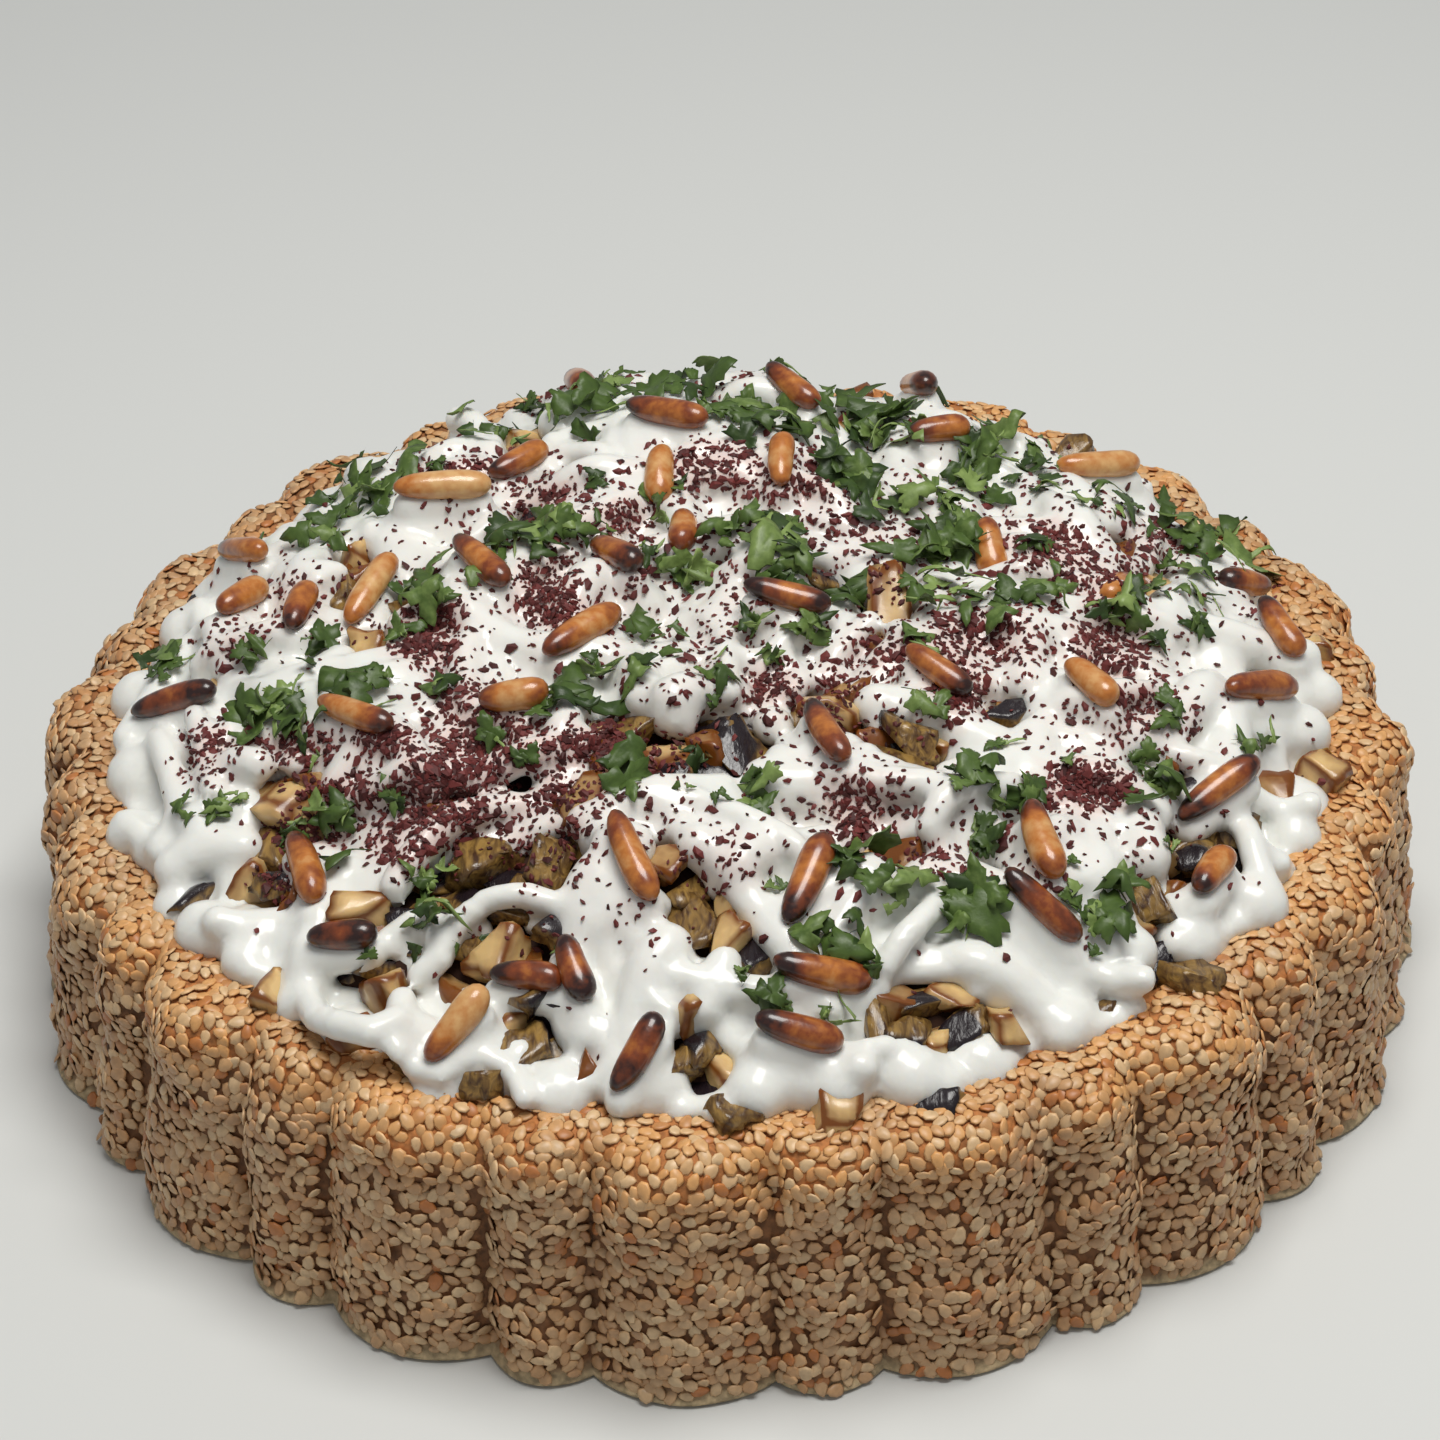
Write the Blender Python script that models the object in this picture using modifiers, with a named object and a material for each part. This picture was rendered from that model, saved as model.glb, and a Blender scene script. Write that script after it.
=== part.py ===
"""Falafel tart.

A fluted shell of baked falafel, coated with sesame seeds, holds a heap of roasted potato and
aubergine. Thick yogurt sauce is spooned over the heap, and pine nuts and parsley lie on it.
Metres, +Z up. The origin is at the middle of the flat base, and the front is at -Y.
"""
import math
import random

import bmesh
import bpy
from mathutils import Matrix, Vector, noise
from mathutils.bvhtree import BVHTree

MM = 0.001

# Shell: radii are to the crests of the ribs
BASE_RADIUS = 129.9 * MM
TOP_RADIUS = 125.6 * MM
RIM_HEIGHT = 48.0 * MM
SHOULDER_RADIUS = 7.0 * MM
SHOULDER_PARTS = 3
RIM_CREST_RADIUS = 114.0 * MM
RECESS_RADIUS = 107.2 * MM
RECESS_FLOOR = 40.0 * MM
RECESS_EDGE_HEIGHT = 46.8 * MM
WALL_STEPS = 3
FOOT_ROUND = 1.2 * MM
SHELL_WOBBLE = 0.9 * MM
SHELL_WOBBLE_SPAN = 34.0 * MM

# Flutes: a wide rib and a narrow rib by turns
RIB_PAIRS = 16
PAIR_ANGLE = math.tau / RIB_PAIRS
WIDE_RIB_HALF_ANGLE = math.radians(7.05)
WIDE_RIB_PARTS = 6
NARROW_RIB_PARTS = 4
FIRST_WIDE_RIB = math.radians(-4.1)
RIB_DEPTH = 5.2 * MM
NARROW_RIB_SHARE = 0.78

# Sesame seeds that are fused to the shell
SEED_COUNT = 56
SEED_HALF_SIZE = Vector((1.65, 1.1, 0.75)) * MM
SEED_LIFT = 0.15 * MM
SEED_LOWEST = 6.0 * MM
SEED_CLIMB = math.radians(48.0)
GOLDEN_ANGLE = math.pi * (3.0 - math.sqrt(5.0))
RANDOM_SEED = 7

# Heap of roasted vegetables
HEAP_RADIUS = 106.6 * MM
HEAP_RISE = 20.0 * MM
HEAP_POWER = 4.0
HEAP_LUMP = 4.5 * MM
HEAP_LUMP_SPAN = 30.0 * MM
CROWN_MIDDLE = Vector((3.0, 68.0, 0.0)) * MM
CROWN_RADIUS = 34.0 * MM
CROWN_RISE = 6.5 * MM
HEAP_EDGE_HEIGHT = 46.6 * MM
HEAP_SECTORS = 48
HEAP_RINGS = (25.0, 45.0, 62.0, 76.0, 87.0, 95.0, 102.0)
CHUNK_DEPTH = 11.0 * MM
CHUNK_STAND = 4.6 * MM
CHUNK_BEVEL = 1.3 * MM
CHUNK_LEAST = 5.0 * MM
CHUNK_MOST = 17.0 * MM
CHUNK_FILL = 0.85
CHUNK_WEAR = 0.14
CHUNK_TURN = 0.3
CHUNK_TILT = 0.2
CHUNK_SHRINK = 0.88
CHUNK_SMALLEST = 0.3
CHUNK_OUTERMOST = 99.0 * MM

# Yogurt sauce
SAUCE_EDGE_RADIUS = 111.5 * MM
SAUCE_EDGE_WAVE = 2.4 * MM
RIM_BAND = 11.0 * MM
SAUCE_CELL = 6.2 * MM
ROW_PITCH = 0.93 * SAUCE_CELL
EDGE_CATCH = 0.42 * SAUCE_CELL
EDGE_STEP = 0.4 * SAUCE_CELL
EDGE_SLACK = 0.35 * MM
EDGE_MERGE = 1.2 * MM
SLOPE_STEP = 0.2 * MM
SLOPE_LEAST = 0.3
SAUCE_THICK = 6.2 * MM
SAUCE_LUMP = 5.0 * MM
SAUCE_LUMP_SPAN = 15.0 * MM
UNDERSIDE_KEEP = 0.68
SAUCE_ROUND = 5.5 * MM
SAUCE_LIP = 1.5 * MM
GAP = 0.8 * MM
BRIDGE = 1.2 * MM
OPENING_LONGEST = 1.4

# Pine nuts and parsley
NUT_WIDTH = 5.4 * MM
NUT_LEAST = 11.5 * MM
NUT_MOST = 17.0 * MM
NUT_TAPER = 0.22
NUT_SIDES = 6
NUT_RINGS = 5
NUT_HALF_SPAN = 0.4
LEAF_THICK = 0.8 * MM
LEAF_POINTS = 14
LEAF_CURL = 2.2 * MM
LEAF_MIDDLE = 0.34
LEAF_LOBE = 0.2
LEAF_TOOTH = 0.05
LEAF_FOOT = 0.12
LIFT_STEP = 0.25 * MM
REST_GAP = 0.3 * MM
OVERHEAD = 200.0 * MM

# The line of sight: a place on the heap is given by the pixel, of a view that is 1440 wide and
# high, where it is seen from this eye point
VIEW_MIDDLE = 720.0
VIEW_FOCAL = 3911.0
VIEW_AIM = Vector((-0.5, 0.0, 46.9)) * MM
VIEW_DISTANCE = 725.0 * MM
VIEW_ELEVATION = math.radians(35.8)
VIEW_ROLL = math.radians(-1.27)
SIGHT_START = 100.0 * MM
SIGHT_STEP = 0.5 * MM

# Openings in the sauce, where the vegetables show: middle and size, in pixels of the view. The
# first few cut through the sauce's edge, and the others leave a band of sauce along the rim.
RIM_OPENING_COUNT = 2
OPENINGS = (
    (1186, 960, 72, 104), (1306, 640, 34, 50),
    (287, 788, 76, 78), (358, 896, 70, 58), (352, 1014, 64, 44), (510, 850, 165, 58),
    (498, 934, 86, 66), (666, 846, 44, 84), (700, 906, 78, 54), (574, 1052, 128, 62),
    (690, 1046, 76, 54), (725, 1096, 60, 50), (838, 1102, 62, 40), (490, 1068, 44, 40),
    (735, 728, 80, 92), (640, 735, 96, 84), (828, 688, 62, 54), (895, 585, 52, 76),
    (908, 725, 66, 54), (1004, 698, 58, 40), (944, 998, 100, 74), (868, 1012, 58, 56),
    (755, 941, 44, 44), (1205, 832, 96, 84), (1149, 890, 44, 62),
    (279, 869, 56, 42), (892, 845, 66, 46), (525, 438, 50, 50), (848, 386, 46, 26),
    (358, 544, 46, 44), (1069, 446, 60, 34), (528, 983, 74, 46),
    (523, 517, 38, 28), (824, 569, 40, 36), (368, 634, 40, 32), (347, 578, 34, 38),
)

# Pine nuts: the two ends of each, in pixels of the view
PINE_NUTS = (
    (209, 562, 279, 575), (225, 635, 262, 599), (293, 648, 310, 604), (345, 625, 395, 560),
    (400, 521, 489, 511), (458, 560, 507, 599), (133, 730, 219, 701), (322, 721, 391, 755),
    (295, 836, 315, 899), (702, 360, 762, 355), (565, 390, 596, 416), (613, 425, 722, 441),
    (769, 393, 815, 416), (898, 401, 938, 418), (914, 451, 963, 449), (493, 486, 545, 459),
    (780, 499, 783, 461), (596, 552, 638, 597), (541, 672, 623, 632), (488, 713, 541, 713),
    (747, 612, 828, 615), (908, 673, 968, 705), (807, 712, 845, 791), (611, 829, 654, 920),
    (1063, 478, 1132, 493), (1260, 632, 1296, 682), (1223, 711, 1293, 710),
    (1069, 685, 1111, 725), (1182, 808, 1252, 794), (1029, 826, 1053, 901),
    (1005, 896, 1079, 954), (1200, 909, 1222, 876), (788, 932, 827, 866),
    (775, 990, 871, 984), (757, 1052, 842, 1060), (613, 1096, 662, 1038),
    (566, 952, 583, 998), (503, 979, 551, 984), (428, 1078, 488, 1018), (318, 949, 368, 942),
)

# Parsley leaves: middle in pixels of the view, length in millimetres, heading in degrees
PARSLEY = (
    (262, 722, 21, 200), (330, 688, 19, 20), (431, 900, 21, 265), (345, 832, 17, 35),
    (545, 535, 20, 10), (430, 590, 15, 100), (578, 702, 19, 15), (623, 776, 17, 300),
    (945, 590, 24, 300), (850, 480, 20, 200), (770, 568, 18, 330), (1240, 552, 23, 20),
    (862, 872, 22, 330), (970, 905, 22, 250), (838, 950, 19, 80), (1149, 790, 19, 320),
    (1110, 935, 16, 200),
)


def clear_scene():
    """Remove every object that the file holds."""
    for item in list(bpy.data.objects):
        bpy.data.objects.remove(item, do_unlink=True)


def material(name, red, green, blue, roughness):
    """A plain Principled material, with its colour as linear values."""
    made = bpy.data.materials.new(name)
    made.use_nodes = True
    shader = made.node_tree.nodes["Principled BSDF"]
    shader.inputs["Base Color"].default_value = (red, green, blue, 1.0)
    shader.inputs["Roughness"].default_value = roughness
    shader.inputs["Metallic"].default_value = 0.0
    return made


def object_from(bm, name, collection, finish=None):
    """Make a named object of a bmesh, in a collection."""
    mesh = bpy.data.meshes.new(name)
    bmesh.ops.recalc_face_normals(bm, faces=bm.faces)
    bm.to_mesh(mesh)
    bm.free()
    item = bpy.data.objects.new(name, mesh)
    collection.objects.link(item)
    if finish:
        mesh.materials.append(finish)
    return item


def applied(item):
    """Replace an object's mesh with its evaluated mesh and drop its modifiers."""
    bpy.context.view_layer.update()
    graph = bpy.context.evaluated_depsgraph_get()
    mesh = bpy.data.meshes.new_from_object(item.evaluated_get(graph))
    item.modifiers.clear()
    item.data = mesh
    mesh.name = item.name
    return item


def turned(name, profile, steps, collection, finish):
    """Turn a profile of (radius, height) points round the Z axis."""
    mesh = bpy.data.meshes.new(name)
    points = [(radius, 0.0, height) for radius, height in profile]
    edges = [(k, k + 1) for k in range(len(points) - 1)]
    mesh.from_pydata(points, edges, [])
    item = bpy.data.objects.new(name, mesh)
    collection.objects.link(item)
    screw = item.modifiers.new("turn", "SCREW")
    screw.axis = "Z"
    screw.steps = steps
    screw.render_steps = steps
    screw.use_merge_vertices = True
    screw.merge_threshold = 0.00005
    screw.use_smooth_shade = True
    applied(item)
    item.data.materials.append(finish)
    return item


def fuse(body, pieces, name):
    """Join loose pieces to a body with one Boolean union, and remove the pieces."""
    group = bpy.data.collections.new(name)
    bpy.context.scene.collection.children.link(group)
    for piece in pieces:
        group.objects.link(piece)
    union = body.modifiers.new("fuse", "BOOLEAN")
    union.operation = "UNION"
    union.operand_type = "COLLECTION"
    union.collection = group
    union.solver = "EXACT"
    applied(body)
    for piece in pieces:
        bpy.data.objects.remove(piece, do_unlink=True)
    bpy.data.collections.remove(group)
    return body


def tree_of(item):
    """A search tree of an object's mesh."""
    bm = bmesh.new()
    bm.from_mesh(item.data)
    tree = BVHTree.FromBMesh(bm)
    bm.free()
    return tree


def height_at(trees, x, y):
    """The height of the highest surface at a place, seen from above."""
    best = 0.0
    for tree in trees:
        hit = tree.ray_cast(Vector((x, y, OVERHEAD)), Vector((0.0, 0.0, -1.0)))[0]
        if hit is not None:
            best = max(best, hit.z)
    return best


def bridged_height(trees, x, y):
    """The height at a place, with the narrow gap between the heap and the shell bridged."""
    reach = BRIDGE
    sides = ((0.0, 0.0), (reach, 0.0), (-reach, 0.0), (0.0, reach), (0.0, -reach))
    return max(height_at(trees, x + dx, y + dy) for dx, dy in sides)


def heap_height(x, y):
    """The height of the bare heap, which falls to the rim at its edge."""
    share = min(math.hypot(x, y) / HEAP_RADIUS, 1.0)
    lump = noise.noise(Vector((x, y, 0.0)) / HEAP_LUMP_SPAN) * HEAP_LUMP
    away = math.hypot(x - CROWN_MIDDLE.x, y - CROWN_MIDDLE.y) / CROWN_RADIUS
    crown = CROWN_RISE * math.exp(-away * away)
    dome = HEAP_RISE * (1.0 - share ** HEAP_POWER)
    return HEAP_EDGE_HEIGHT + dome + (lump + crown) * (1.0 - share ** 4)


def sight_line(px, py):
    """The eye point and the direction in which a pixel of the view is seen."""
    tilt = Vector((0.0, math.cos(VIEW_ELEVATION), -math.sin(VIEW_ELEVATION)))
    side = Vector((1.0, 0.0, 0.0))
    rise = side.cross(tilt)
    right = math.cos(VIEW_ROLL) * side + math.sin(VIEW_ROLL) * rise
    up = math.cos(VIEW_ROLL) * rise - math.sin(VIEW_ROLL) * side
    eye = VIEW_AIM - VIEW_DISTANCE * tilt
    sight = tilt + right * (px - VIEW_MIDDLE) / VIEW_FOCAL - up * (py - VIEW_MIDDLE) / VIEW_FOCAL
    return eye, sight.normalized()


def seen_at(px, py):
    """The place on the sauce where a pixel of the view is seen, or the nearest on its skyline."""
    eye, sight = sight_line(px, py)
    place = eye + sight * ((SIGHT_START - eye.z) / sight.z)
    nearest = place
    least = 1.0
    while place.z > RECESS_EDGE_HEIGHT and least > 0.0:
        place = place + sight * SIGHT_STEP
        above = place.z - heap_height(place.x, place.y) - SAUCE_THICK
        if above < least and math.hypot(place.x, place.y) < SAUCE_EDGE_RADIUS + SAUCE_EDGE_WAVE:
            least = above
            nearest = place
    return nearest


def rib_angle(turn):
    """Move an even angle so that the mesh has an edge along each crease between ribs."""
    parts = WIDE_RIB_PARTS + NARROW_RIB_PARTS
    pair = math.floor(turn / PAIR_ANGLE + 1e-6)
    part = (turn / PAIR_ANGLE - pair) * parts
    if part < WIDE_RIB_PARTS:
        inside = part / WIDE_RIB_PARTS * 2.0 * WIDE_RIB_HALF_ANGLE
    else:
        narrow = PAIR_ANGLE - 2.0 * WIDE_RIB_HALF_ANGLE
        inside = 2.0 * WIDE_RIB_HALF_ANGLE + (part - WIDE_RIB_PARTS) / NARROW_RIB_PARTS * narrow
    return FIRST_WIDE_RIB - WIDE_RIB_HALF_ANGLE + pair * PAIR_ANGLE + inside


def rib_inset(angle):
    """How far the wall stands inside the crests at an angle round the tart."""
    offset = (angle - FIRST_WIDE_RIB + PAIR_ANGLE / 2.0) % PAIR_ANGLE - PAIR_ANGLE / 2.0
    if abs(offset) <= WIDE_RIB_HALF_ANGLE:
        return RIB_DEPTH * (offset / WIDE_RIB_HALF_ANGLE) ** 2
    narrow_half = PAIR_ANGLE / 2.0 - WIDE_RIB_HALF_ANGLE
    across = (PAIR_ANGLE / 2.0 - abs(offset)) / narrow_half
    return RIB_DEPTH * (1.0 - NARROW_RIB_SHARE * (1.0 - across ** 2))


def shell_profile():
    """The shell's outline from the middle of the recess, over the rim, to the middle of the base."""
    points = [(0.0, RECESS_FLOOR), (RECESS_RADIUS - 0.3 * MM, RECESS_FLOOR)]
    points.append((RECESS_RADIUS, RECESS_EDGE_HEIGHT))
    points.append((RIM_CREST_RADIUS, RIM_HEIGHT))
    for k in range(SHOULDER_PARTS + 1):
        angle = math.radians(80.0) * (1.0 - k / SHOULDER_PARTS)
        radius = TOP_RADIUS - SHOULDER_RADIUS * (1.0 - math.cos(angle))
        height = RIM_HEIGHT - SHOULDER_RADIUS * (1.0 - math.sin(angle))
        points.append((radius, height))
    top = RIM_HEIGHT - SHOULDER_RADIUS
    for k in range(1, WALL_STEPS + 1):
        share = k / WALL_STEPS
        radius = TOP_RADIUS + (BASE_RADIUS - TOP_RADIUS) * share
        points.append((radius, top + (FOOT_ROUND - top) * share))
    points.append((BASE_RADIUS - 0.4 * MM, 0.0))
    points.append((0.0, 0.0))
    return points


def make_shell(collection, finish):
    """The falafel shell: turned, then pushed in between its ribs and made a little uneven."""
    steps = RIB_PAIRS * (WIDE_RIB_PARTS + NARROW_RIB_PARTS)
    shell = turned("falafel_shell", shell_profile(), steps, collection, finish)
    for vertex in shell.data.vertices:
        place = vertex.co
        radius = math.hypot(place.x, place.y)
        if radius < RECESS_RADIUS + 1.0 * MM:
            continue
        angle = rib_angle(math.atan2(place.y, place.x) % math.tau)
        grip = min((radius - RIM_CREST_RADIUS) / (TOP_RADIUS - RIM_CREST_RADIUS), 1.0)
        spot = Vector((math.cos(angle), math.sin(angle), 0.0)) * radius
        spot.z = place.z
        wobble = noise.noise(spot / SHELL_WOBBLE_SPAN) * SHELL_WOBBLE
        radius += (wobble - rib_inset(angle)) * max(grip, 0.0)
        lift = noise.noise(spot / SHELL_WOBBLE_SPAN + Vector((9.0, 0.0, 0.0))) * SHELL_WOBBLE
        place.x = radius * math.cos(angle)
        place.y = radius * math.sin(angle)
        place.z += lift * min(place.z / RIM_HEIGHT, 1.0) * max(grip, 0.0)
    return shell


def seed_piece(name, place, normal, turn, collection):
    """One sesame seed, a flattened oval, lying on a surface."""
    bm = bmesh.new()
    bmesh.ops.create_icosphere(bm, subdivisions=1, radius=1.0)
    rest = normal.to_track_quat("Z", "Y").to_matrix().to_4x4()
    frame = Matrix.Translation(place + normal * SEED_LIFT) @ rest @ Matrix.Rotation(turn, 4, "Z")
    bmesh.ops.transform(bm, matrix=frame @ Matrix.Diagonal(SEED_HALF_SIZE).to_4x4(), verts=bm.verts)
    return object_from(bm, name, collection)


def add_seeds(shell, collection):
    """Fuse an even spread of sesame seeds to the wall and shoulder of the shell."""
    draw = random.Random(RANDOM_SEED)
    tree = tree_of(shell)
    wall_top = RIM_HEIGHT - SHOULDER_RADIUS
    wall = wall_top - SEED_LOWEST
    shoulder = SHOULDER_RADIUS * SEED_CLIMB
    seeds = []
    for k in range(SEED_COUNT):
        angle = k * GOLDEN_ANGLE
        along = (k + 0.5) / SEED_COUNT * (wall + shoulder)
        climb = max(along - wall, 0.0) / shoulder * SEED_CLIMB
        outward = Vector((math.cos(angle), math.sin(angle), 0.0))
        way = outward * math.cos(climb) + Vector((0.0, 0.0, math.sin(climb)))
        middle = outward * (TOP_RADIUS - SHOULDER_RADIUS)
        middle.z = min(SEED_LOWEST + along, wall_top)
        hit, normal, _, _ = tree.ray_cast(middle + way * BASE_RADIUS, -way)
        if hit is None:
            continue
        seeds.append(seed_piece(f"seed_{k}", hit, normal, draw.uniform(0.0, math.pi), collection))
    return fuse(shell, seeds, "sesame_seeds")


def make_heap(collection, finish):
    """The bare heap of vegetables, turned from the curve of its top."""
    profile = [(0.0, heap_height(0.0, 0.0))]
    for ring in HEAP_RINGS:
        profile.append((ring * MM, heap_height(ring * MM, 0.0)))
    profile.append((HEAP_RADIUS, HEAP_EDGE_HEIGHT))
    profile.append((HEAP_RADIUS, RECESS_FLOOR + GAP))
    profile.append((0.0, RECESS_FLOOR + GAP))
    heap = turned("vegetable_filling", profile, HEAP_SECTORS, collection, finish)
    for vertex in heap.data.vertices:
        if vertex.co.z > HEAP_EDGE_HEIGHT + 0.5 * MM:
            vertex.co.z = heap_height(vertex.co.x, vertex.co.y)
    return heap


def opening_plan():
    """The openings in plan: middle, half width along X and half width along Y."""
    plan = []
    for px, py, wide, high in OPENINGS:
        middle = seen_at(px, py)
        eye = sight_line(px, py)[0]
        pixel = (middle - eye).length / VIEW_FOCAL
        across = wide / 2.0 * pixel
        run = (seen_at(px, py - high / 2.0) - seen_at(px, py + high / 2.0)).xy.length / 2.0
        level = high / 2.0 * pixel / math.sin(VIEW_ELEVATION)
        deep = min(run, level, OPENING_LONGEST * across)
        plan.append((middle.x, middle.y, across, deep))
    return plan


def sauce_reach(x, y, openings):
    """How far a place lies inside the sauce's edge, which is below 0 outside and in openings."""
    angle = math.atan2(y, x)
    wave = math.sin(19.0 * angle) + 0.6 * math.sin(31.0 * angle + 1.0)
    outer = SAUCE_EDGE_RADIUS + SAUCE_EDGE_WAVE * wave / 1.6 - math.hypot(x, y)
    reach = outer
    for number, (ox, oy, across, deep) in enumerate(openings):
        away = (math.hypot((x - ox) / across, (y - oy) / deep) - 1.0) * min(across, deep)
        if number >= RIM_OPENING_COUNT:
            away = max(away, RIM_BAND - outer)
        reach = min(reach, away)
    return reach


def slide_to_edge(vertex, openings):
    """Move a point of the sauce's sheet to the nearest edge of the sauce."""
    for _ in range(3):
        x, y = vertex.co.x, vertex.co.y
        here = sauce_reach(x, y, openings)
        slope = Vector((
            (sauce_reach(x + SLOPE_STEP, y, openings) - here) / SLOPE_STEP,
            (sauce_reach(x, y + SLOPE_STEP, openings) - here) / SLOPE_STEP,
            0.0,
        ))
        if slope.length < SLOPE_LEAST:
            return
        move = -here / slope.length_squared
        vertex.co += slope * max(min(move, EDGE_STEP), -EDGE_STEP)


def nearest_point(bm, spot):
    """The point of a flat sheet that is nearest to the middle of an opening."""
    return min(bm.verts, key=lambda v: math.hypot(v.co.x - spot[0], v.co.y - spot[1]))


def sauce_thickness(x, y, reach):
    """The thickness of the sauce, which is lumpy and has a round edge."""
    lump = noise.noise(Vector((x, y, 0.0)) / SAUCE_LUMP_SPAN) * SAUCE_LUMP
    inward = min(max(reach, 0.0) / SAUCE_ROUND, 1.0)
    swell = math.sqrt(1.0 - (1.0 - inward) ** 2)
    return SAUCE_LIP + (SAUCE_THICK - SAUCE_LIP + lump) * swell


def make_sauce(ground, openings, collection, finish):
    """The yogurt sauce: a lumpy sheet with openings, thickened down to what it lies on."""
    count = math.ceil(1.1 * SAUCE_EDGE_RADIUS / SAUCE_CELL)
    bm = bmesh.new()
    bmesh.ops.create_grid(bm, x_segments=2 * count, y_segments=2 * count, size=1.0)
    for vertex in bm.verts:
        row = round((vertex.co.y + 1.0) * count)
        shift = 0.25 if row % 2 else -0.25
        vertex.co.x = (vertex.co.x * count + shift) * SAUCE_CELL
        vertex.co.y = (row - count) * ROW_PITCH
    bmesh.ops.triangulate(bm, faces=bm.faces, quad_method="SHORT_EDGE")
    bare = [spot for spot in openings if sauce_reach(spot[0], spot[1], openings) < 0.0]
    drops = {nearest_point(bm, spot) for spot in bare}
    for vertex in bm.verts:
        near = abs(sauce_reach(vertex.co.x, vertex.co.y, openings)) < EDGE_CATCH
        if near and vertex not in drops:
            slide_to_edge(vertex, openings)
    outside = [v for v in bm.verts if sauce_reach(v.co.x, v.co.y, openings) < -EDGE_SLACK]
    bmesh.ops.delete(bm, geom=list(drops.union(outside)), context="VERTS")
    keep_main_sheet(bm)
    for vertex in [v for v in bm.verts if v.is_boundary]:
        slide_to_edge(vertex, openings)
    bmesh.ops.remove_doubles(bm, verts=bm.verts, dist=EDGE_MERGE)
    keep_main_sheet(bm)
    sheet = list(bm.faces)
    lower = bmesh.ops.extrude_face_region(bm, geom=sheet)
    raised = {item for item in lower["geom"] if isinstance(item, bmesh.types.BMVert)}
    for vertex in bm.verts:
        x, y = vertex.co.x, vertex.co.y
        vertex.co.z = bridged_height(ground, x, y) + GAP
        if vertex in raised:
            vertex.co.z += sauce_thickness(x, y, sauce_reach(x, y, openings))
    groups = bm.verts.layers.deform.verify()
    for vertex in bm.verts:
        hidden = vertex not in raised and not any(link in raised for link in linked(vertex))
        vertex[groups][0] = 1.0 if hidden else 0.0
    sauce = object_from(bm, "yogurt_sauce", collection, finish)
    sauce.vertex_groups.new(name="underside")
    thin = sauce.modifiers.new("plain underside", "DECIMATE")
    thin.ratio = UNDERSIDE_KEEP
    thin.vertex_group = "underside"
    thin.use_collapse_triangulate = True
    return applied(sauce)


def linked(vertex):
    """The points that share an edge with a point."""
    return [edge.other_vert(vertex) for edge in vertex.link_edges]


def keep_main_sheet(bm):
    """Drop loose scraps and corners that touch at one point only."""
    loose = True
    while loose:
        stray = [v for v in bm.verts if not v.link_faces]
        pinched = []
        for vertex in bm.verts:
            rims = [e for e in vertex.link_edges if e.is_boundary]
            if len(rims) > 2:
                pinched.append(vertex)
        bmesh.ops.delete(bm, geom=stray + pinched, context="VERTS")
        loose = bool(stray or pinched)
    largest = max(islands(bm), key=len)
    scraps = [v for v in bm.verts if v not in largest]
    bmesh.ops.delete(bm, geom=scraps, context="VERTS")


def islands(bm):
    """The groups of points that faces join."""
    found = []
    waiting = set(bm.verts)
    while waiting:
        group = set()
        edge = [waiting.pop()]
        while edge:
            vertex = edge.pop()
            group.add(vertex)
            for link in vertex.link_edges:
                other = link.other_vert(vertex)
                if other in waiting:
                    waiting.discard(other)
                    edge.append(other)
        found.append(group)
    return found


def overlaps(item, trees):
    """True if an object's surface cuts one of the others."""
    own = tree_of(item)
    return any(own.overlap(tree) for tree in trees)


def chunk_piece(number, spot, collection, scale):
    """One roasted cube of vegetable with worn corners, standing a little out of the heap."""
    x, y, across, deep = spot
    inward = min(CHUNK_OUTERMOST / math.hypot(x, y), 1.0)
    x *= inward
    y *= inward
    draw = random.Random(number)
    size = []
    for half in (across, deep):
        size.append(min(max(2.0 * CHUNK_FILL * half, CHUNK_LEAST), CHUNK_MOST) * scale)
    bm = bmesh.new()
    bmesh.ops.create_cube(bm, size=1.0)
    for vertex in bm.verts:
        vertex.co *= draw.uniform(1.0 - CHUNK_WEAR, 1.0)
    bmesh.ops.scale(bm, vec=(size[0], size[1], CHUNK_DEPTH), verts=bm.verts)
    corners = list(bm.edges)
    bmesh.ops.bevel(bm, geom=corners, offset=CHUNK_BEVEL * scale, segments=1, affect="EDGES")
    turn = Matrix.Rotation(draw.uniform(-CHUNK_TURN, CHUNK_TURN), 4, "Z")
    tilt = Matrix.Rotation(draw.uniform(-CHUNK_TILT, CHUNK_TILT), 4, "X")
    middle = heap_height(x, y) + CHUNK_STAND - CHUNK_DEPTH / 2.0
    frame = Matrix.Translation((x, y, middle)) @ turn @ tilt
    bmesh.ops.transform(bm, matrix=frame, verts=bm.verts)
    return object_from(bm, f"chunk_{number}", collection)


def add_chunks(heap, sauce, shell, openings, collection):
    """Fuse a vegetable piece to the heap in each opening, small enough to clear the sauce."""
    trees = [tree_of(sauce), tree_of(shell)]
    chunks = []
    for number, spot in enumerate(openings):
        scale = 1.0
        while scale > CHUNK_SMALLEST:
            chunk = chunk_piece(number, spot, collection, scale)
            if not overlaps(chunk, trees):
                chunks.append(chunk)
                break
            bpy.data.objects.remove(chunk, do_unlink=True)
            scale *= CHUNK_SHRINK
    return fuse(heap, chunks, "vegetable_chunks")


def lift_clear(item, trees):
    """Raise an object in small steps until it rests just clear of what is under it."""
    while overlaps(item, trees):
        item.data.transform(Matrix.Translation((0.0, 0.0, LIFT_STEP)))
    item.data.transform(Matrix.Translation((0.0, 0.0, REST_GAP)))


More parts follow.
